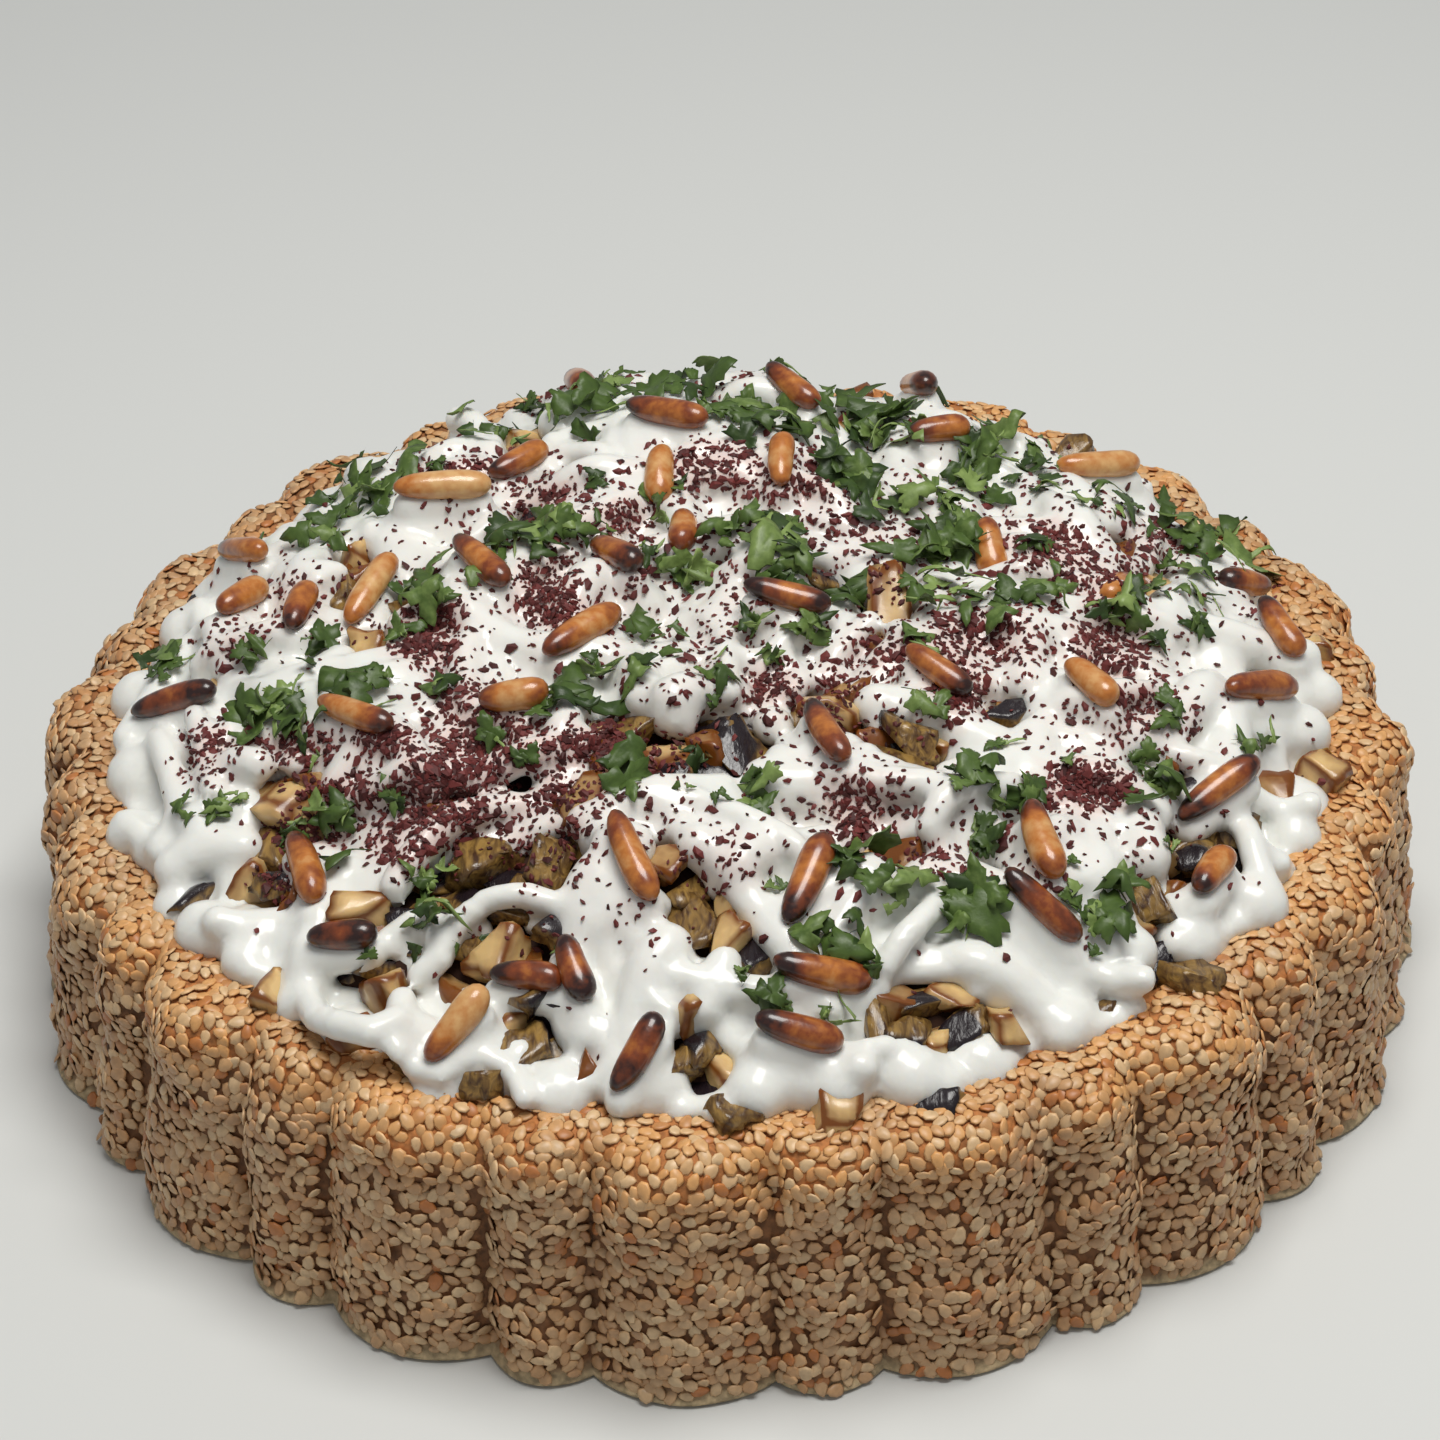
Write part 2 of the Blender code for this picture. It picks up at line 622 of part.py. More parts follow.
def make_nut(number, ends, trees, collection, finish):
    """One pine nut: a long drop, blunt at one end, lying on the sauce."""
    first, last = seen_at(*ends[:2]), seen_at(*ends[2:])
    middle = (first + last) / 2.0
    along = last - first
    length = min(max(along.length, NUT_LEAST), NUT_MOST)
    along.normalize()
    heights = []
    for share in (-NUT_HALF_SPAN, NUT_HALF_SPAN):
        spot = middle + along * share * length
        heights.append(height_at(trees, spot.x, spot.y))
    along.z = (heights[1] - heights[0]) / (2.0 * NUT_HALF_SPAN * length)
    middle.z = (heights[0] + heights[1]) / 2.0 + 0.3 * NUT_WIDTH
    bm = bmesh.new()
    bmesh.ops.create_uvsphere(bm, u_segments=NUT_SIDES, v_segments=NUT_RINGS, radius=0.5)
    for vertex in bm.verts:
        swell = 1.0 + NUT_TAPER * 2.0 * vertex.co.z
        vertex.co.x *= swell * NUT_WIDTH
        vertex.co.y *= swell * NUT_WIDTH
        vertex.co.z *= length
    lie = along.to_track_quat("Z", "Y").to_matrix().to_4x4()
    bmesh.ops.transform(bm, matrix=Matrix.Translation(middle) @ lie, verts=bm.verts)
    nut = object_from(bm, f"pine_nut_{number:02d}", collection, finish)
    nut.data.shade_smooth()
    lift_clear(nut, trees)
    return nut


def leaf_radius(angle):
    """A parsley leaflet's outline: three toothed lobes and a narrow foot, for a length of 1."""
    lobes = LEAF_MIDDLE + LEAF_LOBE * math.cos(3.0 * angle) * (0.7 + 0.3 * math.cos(angle))
    return max(lobes + LEAF_TOOTH * math.cos(9.0 * angle), LEAF_FOOT)


def make_leaf(number, row, trees, collection, finish):
    """One parsley leaf: a thin wavy solid that drapes over what is under it."""
    px, py, length, heading = row
    middle = seen_at(px, py)
    draw = random.Random(100 + number)
    phase = draw.uniform(0.0, math.tau)
    bm = bmesh.new()
    bmesh.ops.create_circle(bm, cap_ends=True, cap_tris=True, segments=LEAF_POINTS, radius=1.0)
    for vertex in bm.verts:
        flat = vertex.co.copy()
        if flat.length < 0.5:
            vertex.co = middle
            continue
        angle = math.atan2(flat.y, flat.x)
        reach = leaf_radius(angle) * length * MM
        turn = angle + math.radians(heading)
        vertex.co = middle + Vector((math.cos(turn), math.sin(turn), 0.0)) * reach
    rises = {}
    for vertex in bm.verts:
        wave = 1.0 + math.sin(2.0 * math.atan2(vertex.co.y - middle.y, vertex.co.x - middle.x) + phase)
        rises[vertex] = wave * LEAF_CURL / 2.0
    for vertex in bm.verts:
        vertex.co.z = heap_height(vertex.co.x, vertex.co.y) + SAUCE_THICK + rises[vertex]
    upper = bmesh.ops.extrude_face_region(bm, geom=list(bm.faces))
    for item in upper["geom"]:
        if isinstance(item, bmesh.types.BMVert):
            item.co.z += LEAF_THICK
    leaf = object_from(bm, f"parsley_{number:02d}", collection, finish)
    lift_clear(leaf, trees)
    return leaf


def centre_on_base(collection):
    """Move every piece so that the origin is at the middle of the base of the whole."""
    corners = [v.co for item in collection.objects for v in item.data.vertices]
    low = Vector([min(c[k] for c in corners) for k in range(3)])
    high = Vector([max(c[k] for c in corners) for k in range(3)])
    shift = Vector((-(low.x + high.x) / 2.0, -(low.y + high.y) / 2.0, -low.z))
    for item in collection.objects:
        item.data.transform(Matrix.Translation(shift))


def main():
    clear_scene()
    tart = bpy.data.collections.new("falafel_tart")
    bpy.context.scene.collection.children.link(tart)
    crust = material("sesame crust", 0.46, 0.26, 0.10, 0.75)
    roast = material("roasted vegetables", 0.36, 0.22, 0.07, 0.45)
    yogurt = material("yogurt", 0.82, 0.79, 0.72, 0.3)
    nut_brown = material("toasted pine nut", 0.42, 0.14, 0.03, 0.35)
    herb = material("parsley", 0.05, 0.19, 0.04, 0.5)
    shell = make_shell(tart, crust)
    heap = make_heap(tart, roast)
    openings = opening_plan()
    sauce = make_sauce([tree_of(shell), tree_of(heap)], openings, tart, yogurt)
    add_chunks(heap, sauce, shell, openings, tart)
    add_seeds(shell, tart)
    trees = [tree_of(shell), tree_of(heap), tree_of(sauce)]
    for number, ends in enumerate(PINE_NUTS, 1):
        trees.append(tree_of(make_nut(number, ends, trees, tart, nut_brown)))
    for number, row in enumerate(PARSLEY, 1):
        trees.append(tree_of(make_leaf(number, row, trees, tart, herb)))
    centre_on_base(tart)


main()
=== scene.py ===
"""Falafel tart, dressed: sesame coat, roast vegetables, yogurt, pine nuts, parsley and sumac.

Everything is in metres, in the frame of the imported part: +Z up and the front at -Y.
"""

import math
import random

import bmesh
import bpy
import numpy as np
from bpy.props import FloatProperty, FloatVectorProperty, IntProperty, PointerProperty
from bpy.types import Operator, Panel, PropertyGroup
from mathutils import Matrix, Vector, noise
from mathutils.bvhtree import BVHTree


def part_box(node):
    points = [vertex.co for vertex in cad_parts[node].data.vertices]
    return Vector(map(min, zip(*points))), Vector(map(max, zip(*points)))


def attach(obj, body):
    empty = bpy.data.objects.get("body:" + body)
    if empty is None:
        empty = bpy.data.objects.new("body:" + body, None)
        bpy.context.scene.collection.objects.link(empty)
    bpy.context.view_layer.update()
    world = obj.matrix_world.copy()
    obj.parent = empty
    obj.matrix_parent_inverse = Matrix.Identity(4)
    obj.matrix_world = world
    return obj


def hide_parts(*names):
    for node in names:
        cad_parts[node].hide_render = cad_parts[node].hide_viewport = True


bl_info = {
    "name": "Falafel Tart",
    "version": (1, 0, 0),
    "blender": (4, 5, 0),
    "location": "3D Viewport > Sidebar > Tart",
    "description": "Dresses a falafel tart with sesame, vegetables, yogurt and toppings",
    "category": "Object",
}

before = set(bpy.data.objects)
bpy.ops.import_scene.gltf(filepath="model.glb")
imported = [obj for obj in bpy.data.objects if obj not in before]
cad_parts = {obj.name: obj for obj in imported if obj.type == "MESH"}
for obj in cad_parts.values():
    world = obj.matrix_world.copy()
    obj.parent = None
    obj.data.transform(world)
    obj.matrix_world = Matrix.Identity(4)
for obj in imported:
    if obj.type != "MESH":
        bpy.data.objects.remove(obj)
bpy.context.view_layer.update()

MM = 0.001
BODY = "root"
NUT_NODES = sorted(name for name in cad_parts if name.startswith("pine_nut"))
LEAF_NODES = sorted(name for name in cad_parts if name.startswith("parsley"))

# The heap's foot is a circle, which gives the middle of the tart in the frame
HEAP_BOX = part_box("vegetable_filling")
SHELL_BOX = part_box("falafel_shell")
HEAP_RADIUS = (HEAP_BOX[1].x - HEAP_BOX[0].x) / 2.0
HEAP_FOOT_HEIGHT = 40.8 * MM
MIDDLE = Vector((
    (HEAP_BOX[0].x + HEAP_BOX[1].x) / 2.0,
    (HEAP_BOX[0].y + HEAP_BOX[1].y) / 2.0,
    HEAP_BOX[0].z - HEAP_FOOT_HEIGHT,
))

# A pair of numbers holds the values between which a change runs, or the range of a random draw.
# Lengths that go into a draw are in millimetres, and are multiplied by MM after it.

# Shell: radii are to the crests of the ribs
BASE_RADIUS = 129.9 * MM
TOP_RADIUS = 125.6 * MM
RIM_HEIGHT = 48.0 * MM
SHOULDER_RADIUS = 7.0 * MM
RIM_CREST_RADIUS = 114.0 * MM
RECESS_RADIUS = 107.2 * MM
RECESS_FLOOR = 40.0 * MM
RECESS_EDGE_HEIGHT = 46.8 * MM
RECESS_TUCK = 0.3 * MM
CREST_FLAT = 3.0 * MM
SHELL_WOBBLE = 0.9 * MM
SHELL_WOBBLE_SPAN = 34.0 * MM
RIB_PAIRS = 16
PAIR_ANGLE = math.tau / RIB_PAIRS
WIDE_RIB_HALF_ANGLE = math.radians(7.05)
WIDE_RIB_PARTS = 25
NARROW_RIB_PARTS = 15
FIRST_WIDE_RIB = math.radians(-4.1)
RIB_DEPTH = 5.7 * MM
NARROW_RIB_SHARE = 0.78

# Heap and sauce
HEAP_EDGE_HEIGHT = 46.6 * MM
HEAP_RISE = 20.0 * MM
HEAP_POWER = 4.0
HEAP_LUMP = 4.5 * MM
HEAP_LUMP_SPAN = 30.0 * MM
CROWN_MIDDLE = Vector((3.0, 68.0, 0.0)) * MM
CROWN_RADIUS = 34.0 * MM
CROWN_RISE = 6.5 * MM
CORE_RINGS = 44
CORE_SIDES = 160
CORE_START = 0.02
CORE_LUMP = 2.4 * MM
CORE_LUMP_SPAN = 6.0 * MM
CORE_SINK = 1.2 * MM
SAUCE_EDGE_RADIUS = 111.5 * MM
SAUCE_EDGE_WAVE = 2.4 * MM
EDGE_WAVES = 19.0
EDGE_FINE_WAVES = 31.0
EDGE_FINE_SHARE = 0.6
SAUCE_THICK = 7.0 * MM
SAUCE_LUMP = 5.0 * MM
SAUCE_LUMP_SPAN = 15.0 * MM
RIM_BAND = 8.0 * MM

# The camera, and the pixels of its view of 1440 by 1440
VIEW_SIZE = 1440.0
VIEW_FOCAL = 3911.0
VIEW_AIM = Vector((-0.5, 0.0, 46.9)) * MM
VIEW_DISTANCE = 725.0 * MM
VIEW_ELEVATION = math.radians(35.8)
VIEW_ROLL = math.radians(-1.27)
SENSOR = 36.0
# A line of sight is followed down from a height above the tart, in short steps
SIGHT_TOP = 100.0 * MM
SIGHT_STEP = 0.4 * MM
CAST_HEIGHT = 0.2
DOWN = Vector((0.0, 0.0, -1.0))

# Openings in the sauce, in pixels of the view: middle and size. The first two cut through the
# sauce's edge, and the others leave a band of sauce along the rim.
RIM_OPENING_COUNT = 2
OPENING_LONGEST = 1.4
# The waves of an opening's ragged edge: depth, number and shift from one opening to the next
OPENING_RAGS = ((0.1, 3.0, 1.0), (0.07, 5.0, 2.0))
OPENINGS = (
    (1186, 960, 72, 104), (1306, 640, 34, 50),
    (287, 788, 76, 78), (358, 896, 70, 58), (352, 1014, 64, 44), (510, 850, 165, 58),
    (498, 934, 86, 66), (666, 846, 44, 84), (700, 906, 78, 54), (574, 1052, 128, 62),
    (690, 1046, 76, 54), (725, 1096, 60, 50), (838, 1102, 62, 40), (490, 1068, 44, 40),
    (735, 728, 80, 92), (640, 735, 96, 84), (828, 690, 74, 66), (893, 588, 62, 92),
    (908, 725, 66, 54), (1004, 698, 58, 40), (944, 998, 100, 74), (868, 1012, 58, 56),
    (755, 941, 44, 44), (1205, 832, 96, 84), (1149, 890, 44, 62),
    (279, 869, 56, 42), (892, 845, 66, 46), (525, 438, 50, 50), (848, 386, 46, 26),
    (358, 544, 46, 44), (1069, 446, 60, 34), (528, 983, 74, 46),
    (523, 517, 38, 28), (824, 569, 40, 36), (368, 634, 40, 32), (347, 578, 34, 38),
)

# Roast cubes that show in the openings: middle and width in pixels of the view, and the kind:
# p is potato, q a proud piece and t a slab of it on end, f is aubergine's flesh and s is its skin
CUBES = (
    (287, 788, 66, "p"), (358, 898, 56, "p"), (352, 1016, 50, "p"), (498, 934, 62, "p"),
    (664, 846, 50, "p"), (586, 1055, 62, "p"), (838, 1102, 46, "p"), (828, 690, 56, "q"),
    (892, 588, 62, "t"), (892, 845, 52, "p"), (358, 542, 40, "p"), (525, 436, 42, "p"),
    (848, 385, 40, "p"), (368, 635, 36, "p"), (1000, 1012, 44, "p"), (980, 731, 32, "p"),
    (591, 628, 34, "p"), (279, 981, 34, "p"), (1311, 634, 36, "p"), (1323, 761, 26, "p"),
    (476, 838, 60, "f"), (548, 850, 56, "f"), (696, 908, 56, "f"), (528, 1038, 44, "f"),
    (491, 1068, 44, "f"), (626, 1030, 40, "f"), (672, 1048, 40, "f"), (725, 1097, 50, "f"),
    (626, 716, 58, "f"), (908, 725, 50, "f"), (875, 1010, 50, "f"), (795, 1028, 40, "f"),
    (1238, 818, 50, "f"), (1149, 888, 40, "f"), (1184, 962, 70, "f"), (1069, 440, 44, "f"),
    (348, 579, 34, "f"), (279, 869, 44, "s"), (186, 888, 26, "s"), (415, 1053, 36, "s"),
    (702, 1028, 36, "s"), (934, 1090, 40, "s"), (755, 940, 44, "s"), (924, 985, 48, "s"),
    (961, 1014, 44, "s"), (738, 730, 66, "s"), (668, 764, 52, "s"), (888, 694, 30, "s"),
    (1006, 700, 46, "s"), (1196, 780, 40, "s"), (1199, 838, 50, "s"), (782, 760, 52, "s"),
    (207, 590, 22, "s"), (523, 517, 30, "s"), (824, 570, 34, "s"), (532, 985, 50, "f"),
    (389, 980, 46, "p"), (506, 898, 46, "f"), (727, 930, 44, "p"), (911, 1021, 44, "f"),
    (562, 912, 40, "s"), (690, 990, 44, "p"),
)

# How dark each pine nut is toasted, in hundredths, in the order of its node
NUT_TOAST = (
    62, 50, 60, 14, 14, 46, 86, 38, 52, 64, 58, 68, 60, 44, 66, 58, 40, 62, 42, 30,
    66, 62, 66, 50, 22, 58, 70, 38, 56, 30, 80, 40, 56, 52, 74, 82, 76, 84, 24, 94,
)
# The ends of nuts that only show as a stub, in pixels of the view
NUT_STUBS = (
    (659, 490, 661, 462, 30), (682, 544, 684, 520, 36), (992, 562, 988, 540, 42),
    (1106, 600, 1128, 580, 46), (1226, 580, 1264, 590, 60),
)

# Chopped parsley, in pixels of the view: middle and size of each clump
PARSLEY = (
    (598, 375, 22), (523, 410, 26), (573, 423, 60), (619, 383, 26), (692, 380, 70), (712, 413, 40),
    (745, 422, 44), (778, 432, 50), (831, 410, 44), (871, 420, 50), (898, 432, 50), (845, 470, 60),
    (861, 496, 50), (894, 502, 44), (961, 480, 60), (950, 520, 56), (930, 560, 64), (964, 556, 64),
    (986, 606, 50), (940, 600, 50), (593, 483, 22), (682, 486, 20), (659, 512, 34), (560, 524, 54),
    (540, 545, 40), (507, 542, 46), (493, 575, 30), (646, 552, 26), (606, 536, 20), (692, 569, 44),
    (725, 536, 34), (772, 539, 56), (790, 560, 50), (788, 584, 50), (838, 596, 40), (755, 622, 30),
    (768, 655, 26), (808, 632, 36), (659, 638, 44), (639, 675, 36), (596, 668, 22), (709, 672, 34),
    (709, 701, 16), (705, 757, 34), (576, 700, 56), (550, 712, 30), (493, 741, 30), (523, 755, 24),
    (623, 778, 46), (686, 788, 14), (719, 801, 16), (762, 776, 36), (765, 806, 36), (928, 706, 44),
    (928, 648, 32), (954, 774, 30), (368, 496, 56), (350, 520, 40), (325, 539, 40), (434, 595, 46),
    (398, 632, 26), (325, 645, 36), (176, 658, 44), (156, 678, 22), (252, 655, 36), (270, 712, 70),
    (290, 690, 50), (300, 725, 50), (365, 695, 44), (345, 700, 36), (451, 688, 44), (318, 758, 14),
    (186, 816, 30), (216, 808, 34), (245, 801, 26), (292, 826, 24), (345, 818, 50), (395, 800, 30),
    (441, 463, 22), (1019, 420, 30), (986, 446, 34), (1029, 466, 40), (956, 476, 30),
    (1043, 489, 24), (1029, 599, 40), (1063, 589, 24), (1079, 506, 26), (1106, 512, 20),
    (1033, 549, 26), (1172, 536, 50), (1215, 536, 34), (1248, 552, 60), (1192, 575, 36),
    (1198, 600, 30), (1192, 629, 28), (1106, 612, 32), (1132, 618, 40), (1152, 648, 30),
    (1165, 592, 26), (1167, 718, 34), (1255, 740, 36), (993, 745, 26), (1069, 761, 14),
    (970, 776, 50), (993, 804, 26), (1036, 794, 40), (1139, 758, 32), (1152, 794, 50),
    (983, 834, 36), (845, 862, 44), (888, 886, 56), (778, 886, 20), (832, 939, 56), (861, 962, 40),
    (745, 982, 24), (769, 998, 42), (838, 1015, 44), (977, 890, 56), (961, 925, 44),
    (953, 905, 36), (563, 949, 18), (1132, 886, 46), (1106, 929, 46), (1080, 915, 30),
    (1096, 955, 18), (1066, 899, 24), (1073, 866, 12), (1169, 849, 12), (431, 880, 44),
    (436, 905, 40), (428, 930, 36), (464, 945, 24), (289, 833, 22), (368, 955, 12),
)

# Drifts of sumac, in pixels of the view: middle, half width, half height and number of flakes
SUMAC = (
    (440, 790, 66, 52, 620), (470, 750, 40, 40, 160), (600, 742, 44, 22, 150),
    (300, 748, 60, 24, 170), (545, 590, 34, 30, 170), (425, 642, 36, 26, 210),
    (310, 830, 60, 18, 160), (1085, 785, 46, 26, 330), (960, 690, 30, 26, 170),
    (770, 690, 30, 30, 120), (800, 480, 70, 36, 130), (900, 655, 60, 22, 90),
    (1110, 585, 44, 40, 170), (1040, 540, 40, 26, 90), (840, 690, 30, 50, 90),
    (550, 500, 60, 30, 150), (1120, 650, 40, 26, 120), (720, 460, 90, 26, 150),
    (1150, 700, 60, 50, 110), (540, 830, 90, 50, 150), (640, 760, 60, 30, 120),
    (860, 800, 60, 40, 130), (1010, 640, 40, 30, 70), (480, 470, 50, 20, 120),
    (420, 470, 30, 14, 60), (290, 600, 40, 50, 70), (980, 620, 60, 16, 90),
    (1250, 590, 30, 30, 50), (700, 650, 60, 40, 60), (860, 830, 30, 20, 70),
    (1040, 860, 60, 40, 70), (940, 860, 40, 20, 60), (720, 850, 80, 60, 60),
    (620, 880, 300, 120, 160), (760, 620, 420, 180, 420), (960, 720, 300, 160, 260),
    (205, 750, 30, 36, 120), (385, 735, 40, 20, 120), (520, 740, 60, 30, 190),
    (560, 790, 60, 30, 120), (430, 610, 30, 40, 160), (612, 745, 40, 16, 150),
    (395, 850, 30, 26, 110), (335, 790, 50, 14, 120), (283, 882, 26, 14, 50),
    (470, 700, 60, 40, 150), (560, 615, 40, 20, 110), (230, 640, 40, 30, 60),
    (1060, 555, 40, 26, 110), (1160, 545, 40, 30, 110), (1096, 640, 26, 30, 90),
    (700, 470, 60, 20, 90), (960, 640, 40, 20, 80), (880, 540, 60, 30, 70), (620, 520, 40, 20, 70),
    (1130, 700, 50, 40, 70), (760, 570, 330, 130, 420), (1010, 600, 240, 130, 330),
    (560, 560, 180, 100, 220), (860, 500, 300, 60, 220), (350, 600, 120, 80, 90),
    (1120, 820, 140, 90, 90),
)

# Long ribbons of sauce that stand out, in pixels of the view: places along each, width and rise
SWIRLS = (
    (((305, 985), (318, 1015), (340, 1038), (372, 1040), (396, 1022), (402, 998)), 34, 2.5),
    (((160, 742), (172, 775), (182, 812), (206, 838)), 32, 2.4),
    (((196, 722), (206, 756), (214, 794)), 28, 2.6),
    (((418, 962), (440, 945), (456, 912), (486, 892), (528, 886), (568, 895), (600, 915)), 30, 0.5),
    (((388, 912), (412, 902), (436, 908), (440, 930), (425, 950)), 34, -0.5),
    (((398, 1050), (440, 1064), (478, 1046), (512, 1060), (524, 1096)), 26, 0.0),
    (((640, 985), (668, 1006), (664, 1040)), 24, 0.0),
    (((868, 1046), (900, 1040), (930, 1050), (952, 1070)), 28, 0.0),
)

# Fineness of the shell and its relief
RIM_RINGS = 4
SHOULDER_RINGS = 8
SHOULDER_START = math.radians(80.0)
WALL_RINGS = 20
FOOT_HEIGHT = 1.0 * MM
LIP_REACH = 0.6 * MM
LIP_BULGE = 0.2 * MM
LIP_UNDERCUT = 0.4 * MM
CRUMB_SPAN = 2.4 * MM
CLOD_SPAN = 10.0 * MM
CALM_FOOT = 4.0 * MM
CREASE_DIP = 0.4
CREASE_DIP_HEIGHTS = (30.0 * MM, 46.0 * MM)
# The rim browns from toasting; the wall below is darker partly as painted shade
SHELL_TOAST_AND_SHADE_HEIGHTS = (36.0 * MM, 47.0 * MM)
FOOT_HEIGHTS = (1.2 * MM, 3.0 * MM)
WANDER_SPAN = 9.0 * MM
# Shifts that keep one noise from running along with another
SWAY_SHIFT = 9.0
WANDER_SHIFT = 4.0
PATCH_SHIFT = 2.0
TEAR_SHIFT = 17.0
# Painted shade: the back left of the rim is darkened, where the light falls off
SHADED_SIDE = np.array((-0.86, 0.5))
SIDE_SHADE_SPREAD = (0.4, 0.95)
SIDE_SHADE_DEPTH = 0.7

# Sesame: zones are a piece each, by the height of their seeds
SEED_DRAW = 11
SEED_TRIES = 90000
SEED_SIDES = 8
# A seed has a rim, a smaller ring above it, a crown and a keel, in lengths and thicknesses
SEED_TAPER = 0.28
SEED_SHOULDER = 0.72
SEED_SHOULDER_HEIGHT = 0.42
SEED_SHOULDER_EDGE = 0.25
SEED_CROWN = 0.5
SEED_KEEL = -0.4
# A seed's width and thickness, in lengths, and how much seeds vary
SEED_LENGTH_SPREAD = 0.09
SEED_WIDTH = 0.72
SEED_WIDTH_SPREAD = 0.05
SEED_THICKNESS = 0.21
SEED_TILT = 0.17
SEED_LIFT = 0.5 * MM
SEED_INNER_RADIUS = 109.0 * MM
COAT_RAGGEDNESS = 2.5 * MM
COAT_START = (0.9 * MM, 3.4 * MM)
# How likely a seed is to stick along the foot, and how bare the creases between ribs are
FOOT_CHANCE = 0.04
CREASE_BARENESS = 0.93
CREASE_BARE_INSET = (0.55, 0.95)
CREASE_END_HEIGHTS = (34.0 * MM, 44.0 * MM)
# Seeds on the rim are toasted golden; those on the wall are darker partly as painted shade
SEED_TOAST = 0.85
SEED_TOAST_AND_SHADE_HEIGHTS = (33.0 * MM, 47.0 * MM)
SEED_TOAST_WANDER = 3.0 * MM
SEED_TOAST_SPREAD = 0.16
PATCH_SPAN = 21.0 * MM
PATCH_ON_RIM = 0.6
PATCH_ALL_OVER = 0.3
SEED_ZONES = (
    ("sesame_on_lower_wall", 0.0, 20.0 * MM),
    ("sesame_on_upper_wall", 20.0 * MM, 38.5 * MM),
    ("sesame_on_rim", 38.5 * MM, 60.0 * MM),
)

# Roast cubes: first those that show, then more round the openings, then where the sheet tears
CUBE_DRAW = 5
CUBE_CUTS = 4
CUBE_TRIES = 50
CUBE_CLOSENESS = 0.26
CUBE_OVERREACH = 1.15
CUBE_EDGE_CLEAR = 2.0 * MM
CUBE_WIDTHS = (7.5, 13.5)
CUBE_RISES = (1.0, 4.4)
CUBE_MIX = "ppfs"
# How far a cube's middle lies under its top, in widths
CUBE_SEEN_SINK = 0.42
CUBE_SINK = 0.45
CUBE_LEAST = 8.5 * MM
GAP_TRIES = 4000
GAP_CUBE_CLOSENESS = 0.42
GAP_CUBE_WIDTHS = (9.0, 13.0)
GAP_CUBE_RISES = (1.5, 4.0)
GAP_CUBE_MIX = "ppffs"
CUBE_POWER = 9.0
CUBE_EDGE = (0.4, 1.0)
CUBE_STRETCH = (0.86, 1.1)
CUBE_TILT = 0.3
# Lumps and smaller dents, in widths, and the slices off a cube's corners
CUBE_LUMP = 0.3
CUBE_LUMP_SPAN = 0.42
CUBE_LUMP_SHIFT = 3.0
CUBE_DENT = 0.08
CUBE_DENT_SPAN = 0.2
CUBE_CHOPS = 4
CHOP_REACHES = (0.22, 0.5)
SKIN_START = (0.3, 0.4)
AUBERGINE_SOFTNESS = 1.5
# Length, breadth and depth of a piece of each kind, for a width of 1
CUBE_SIZES = {"p": (1.05, 0.85, 0.85), "q": (1.05, 0.85, 0.85), "t": (0.75, 1.45, 0.42),
              "f": (1.15, 0.8, 0.7), "s": (1.1, 0.8, 0.55)}
POTATO_KINDS = "pqt"
SLAB_KIND = "t"
SLAB_FACING = (0.0, -0.6, 0.8)
PROUD = {"q": 3.0 * MM, "t": 3.5 * MM}

# Sauce: the sheet is a lattice of balls
SHEET_STEP = 2.3 * MM
SHEET_RADIUS = 2.6 * MM
SHEET_DROP = 4.6 * MM
TEAR_SPAN = 13.0 * MM
SHEET_CLEAR = 0.8
STRAND_DRAW = 3
STRAND_STEP = 2.0 * MM
# Ribbons start within this many millimetres of the middle
STRAND_FIELD = 104.0
STRAND_BENDS = (-0.09, 0.09)
STRAND_WANDER = (-0.12, 0.12)
STRAND_RADII = (0.58, 1.3)
STRAND_RISES = (-1.4, 2.6)
STRAND_STEPS = (11, 32)
STRAND_BLUNTNESS = 0.4
STRAND_TIP = 0.75
STRAND_CLEAR = 0.45
BEAD_DRAW = 8
BEAD_END = math.tau - 0.06
BEAD_RADII = (5.0, 7.6)
BEAD_REACHES = (0.5, 3.0)
BEAD_RISES = (-1.6, 0.8)
BEAD_SPACINGS = (0.9, 1.25)
BEAD_CLEAR = 0.1
# Round the back, the sauce's edge is drawn in and its beads sink
BACK_START = (0.0, 0.6)
BACK_DRAW = 3.4 * MM
BACK_SINK = 2.2 * MM
# The sauce keeps its full reach under the nut furthest back, which lies on its edge
NUT_BOXES = [np.array(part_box(name)) for name in NUT_NODES]
HINDMOST_NUT = max((box.mean(axis=0) for box in NUT_BOXES), key=lambda middle: middle[1])
HINDMOST_NUT_ANGLE = np.arctan2(HINDMOST_NUT[1], HINDMOST_NUT[0])
HINDMOST_NUT_SPREAD = 0.16
NUT_END_SHARE = 0.2
# The sauce dips under each nut, and mounds along the nut carry it, on wider skirts of sauce
DIP_DEPTH = 0.12
DIP_REACH = 0.6
DIP_WIDTH = 0.45
MOUND_PLACES = np.linspace(0.12, 0.88, 7)
MOUND_SINK = 0.2
MOUND_RADIUS = 3.4 * MM
SKIRT_RADIUS = 6.5 * MM
SKIRT_DROP = 4.4 * MM
SKIRT_REACH = 3.0 * MM
BANK_REACH = 9.0 * MM
NUT_SINK = 2.4 * MM
SAUCE_SOFTNESS = 0.5
SAUCE_SOFTENING = 4
SAUCE_THINNING = 0.62
ISLAND_POINTS = 150

# Toppings
NUT_DRAW = 2
NUT_RINGS = 13
NUT_SIDES = 16
NUT_LENGTH = 15.0 * MM
NUT_WIDTHS = (0.9, 1.06)
NUT_FLATNESS = 0.94
NUT_BLUNTNESS = 3.7
NUT_TAPER = 0.14
NUT_STRETCH = 1.1
NUT_BEND = 0.42
NUT_BEND_MIDDLE = 0.1
NUT_LUMP = 0.07
NUT_LUMP_FORM = (3.0, 1.2, 1.2)
NUT_LUMP_SHIFT = 5.0
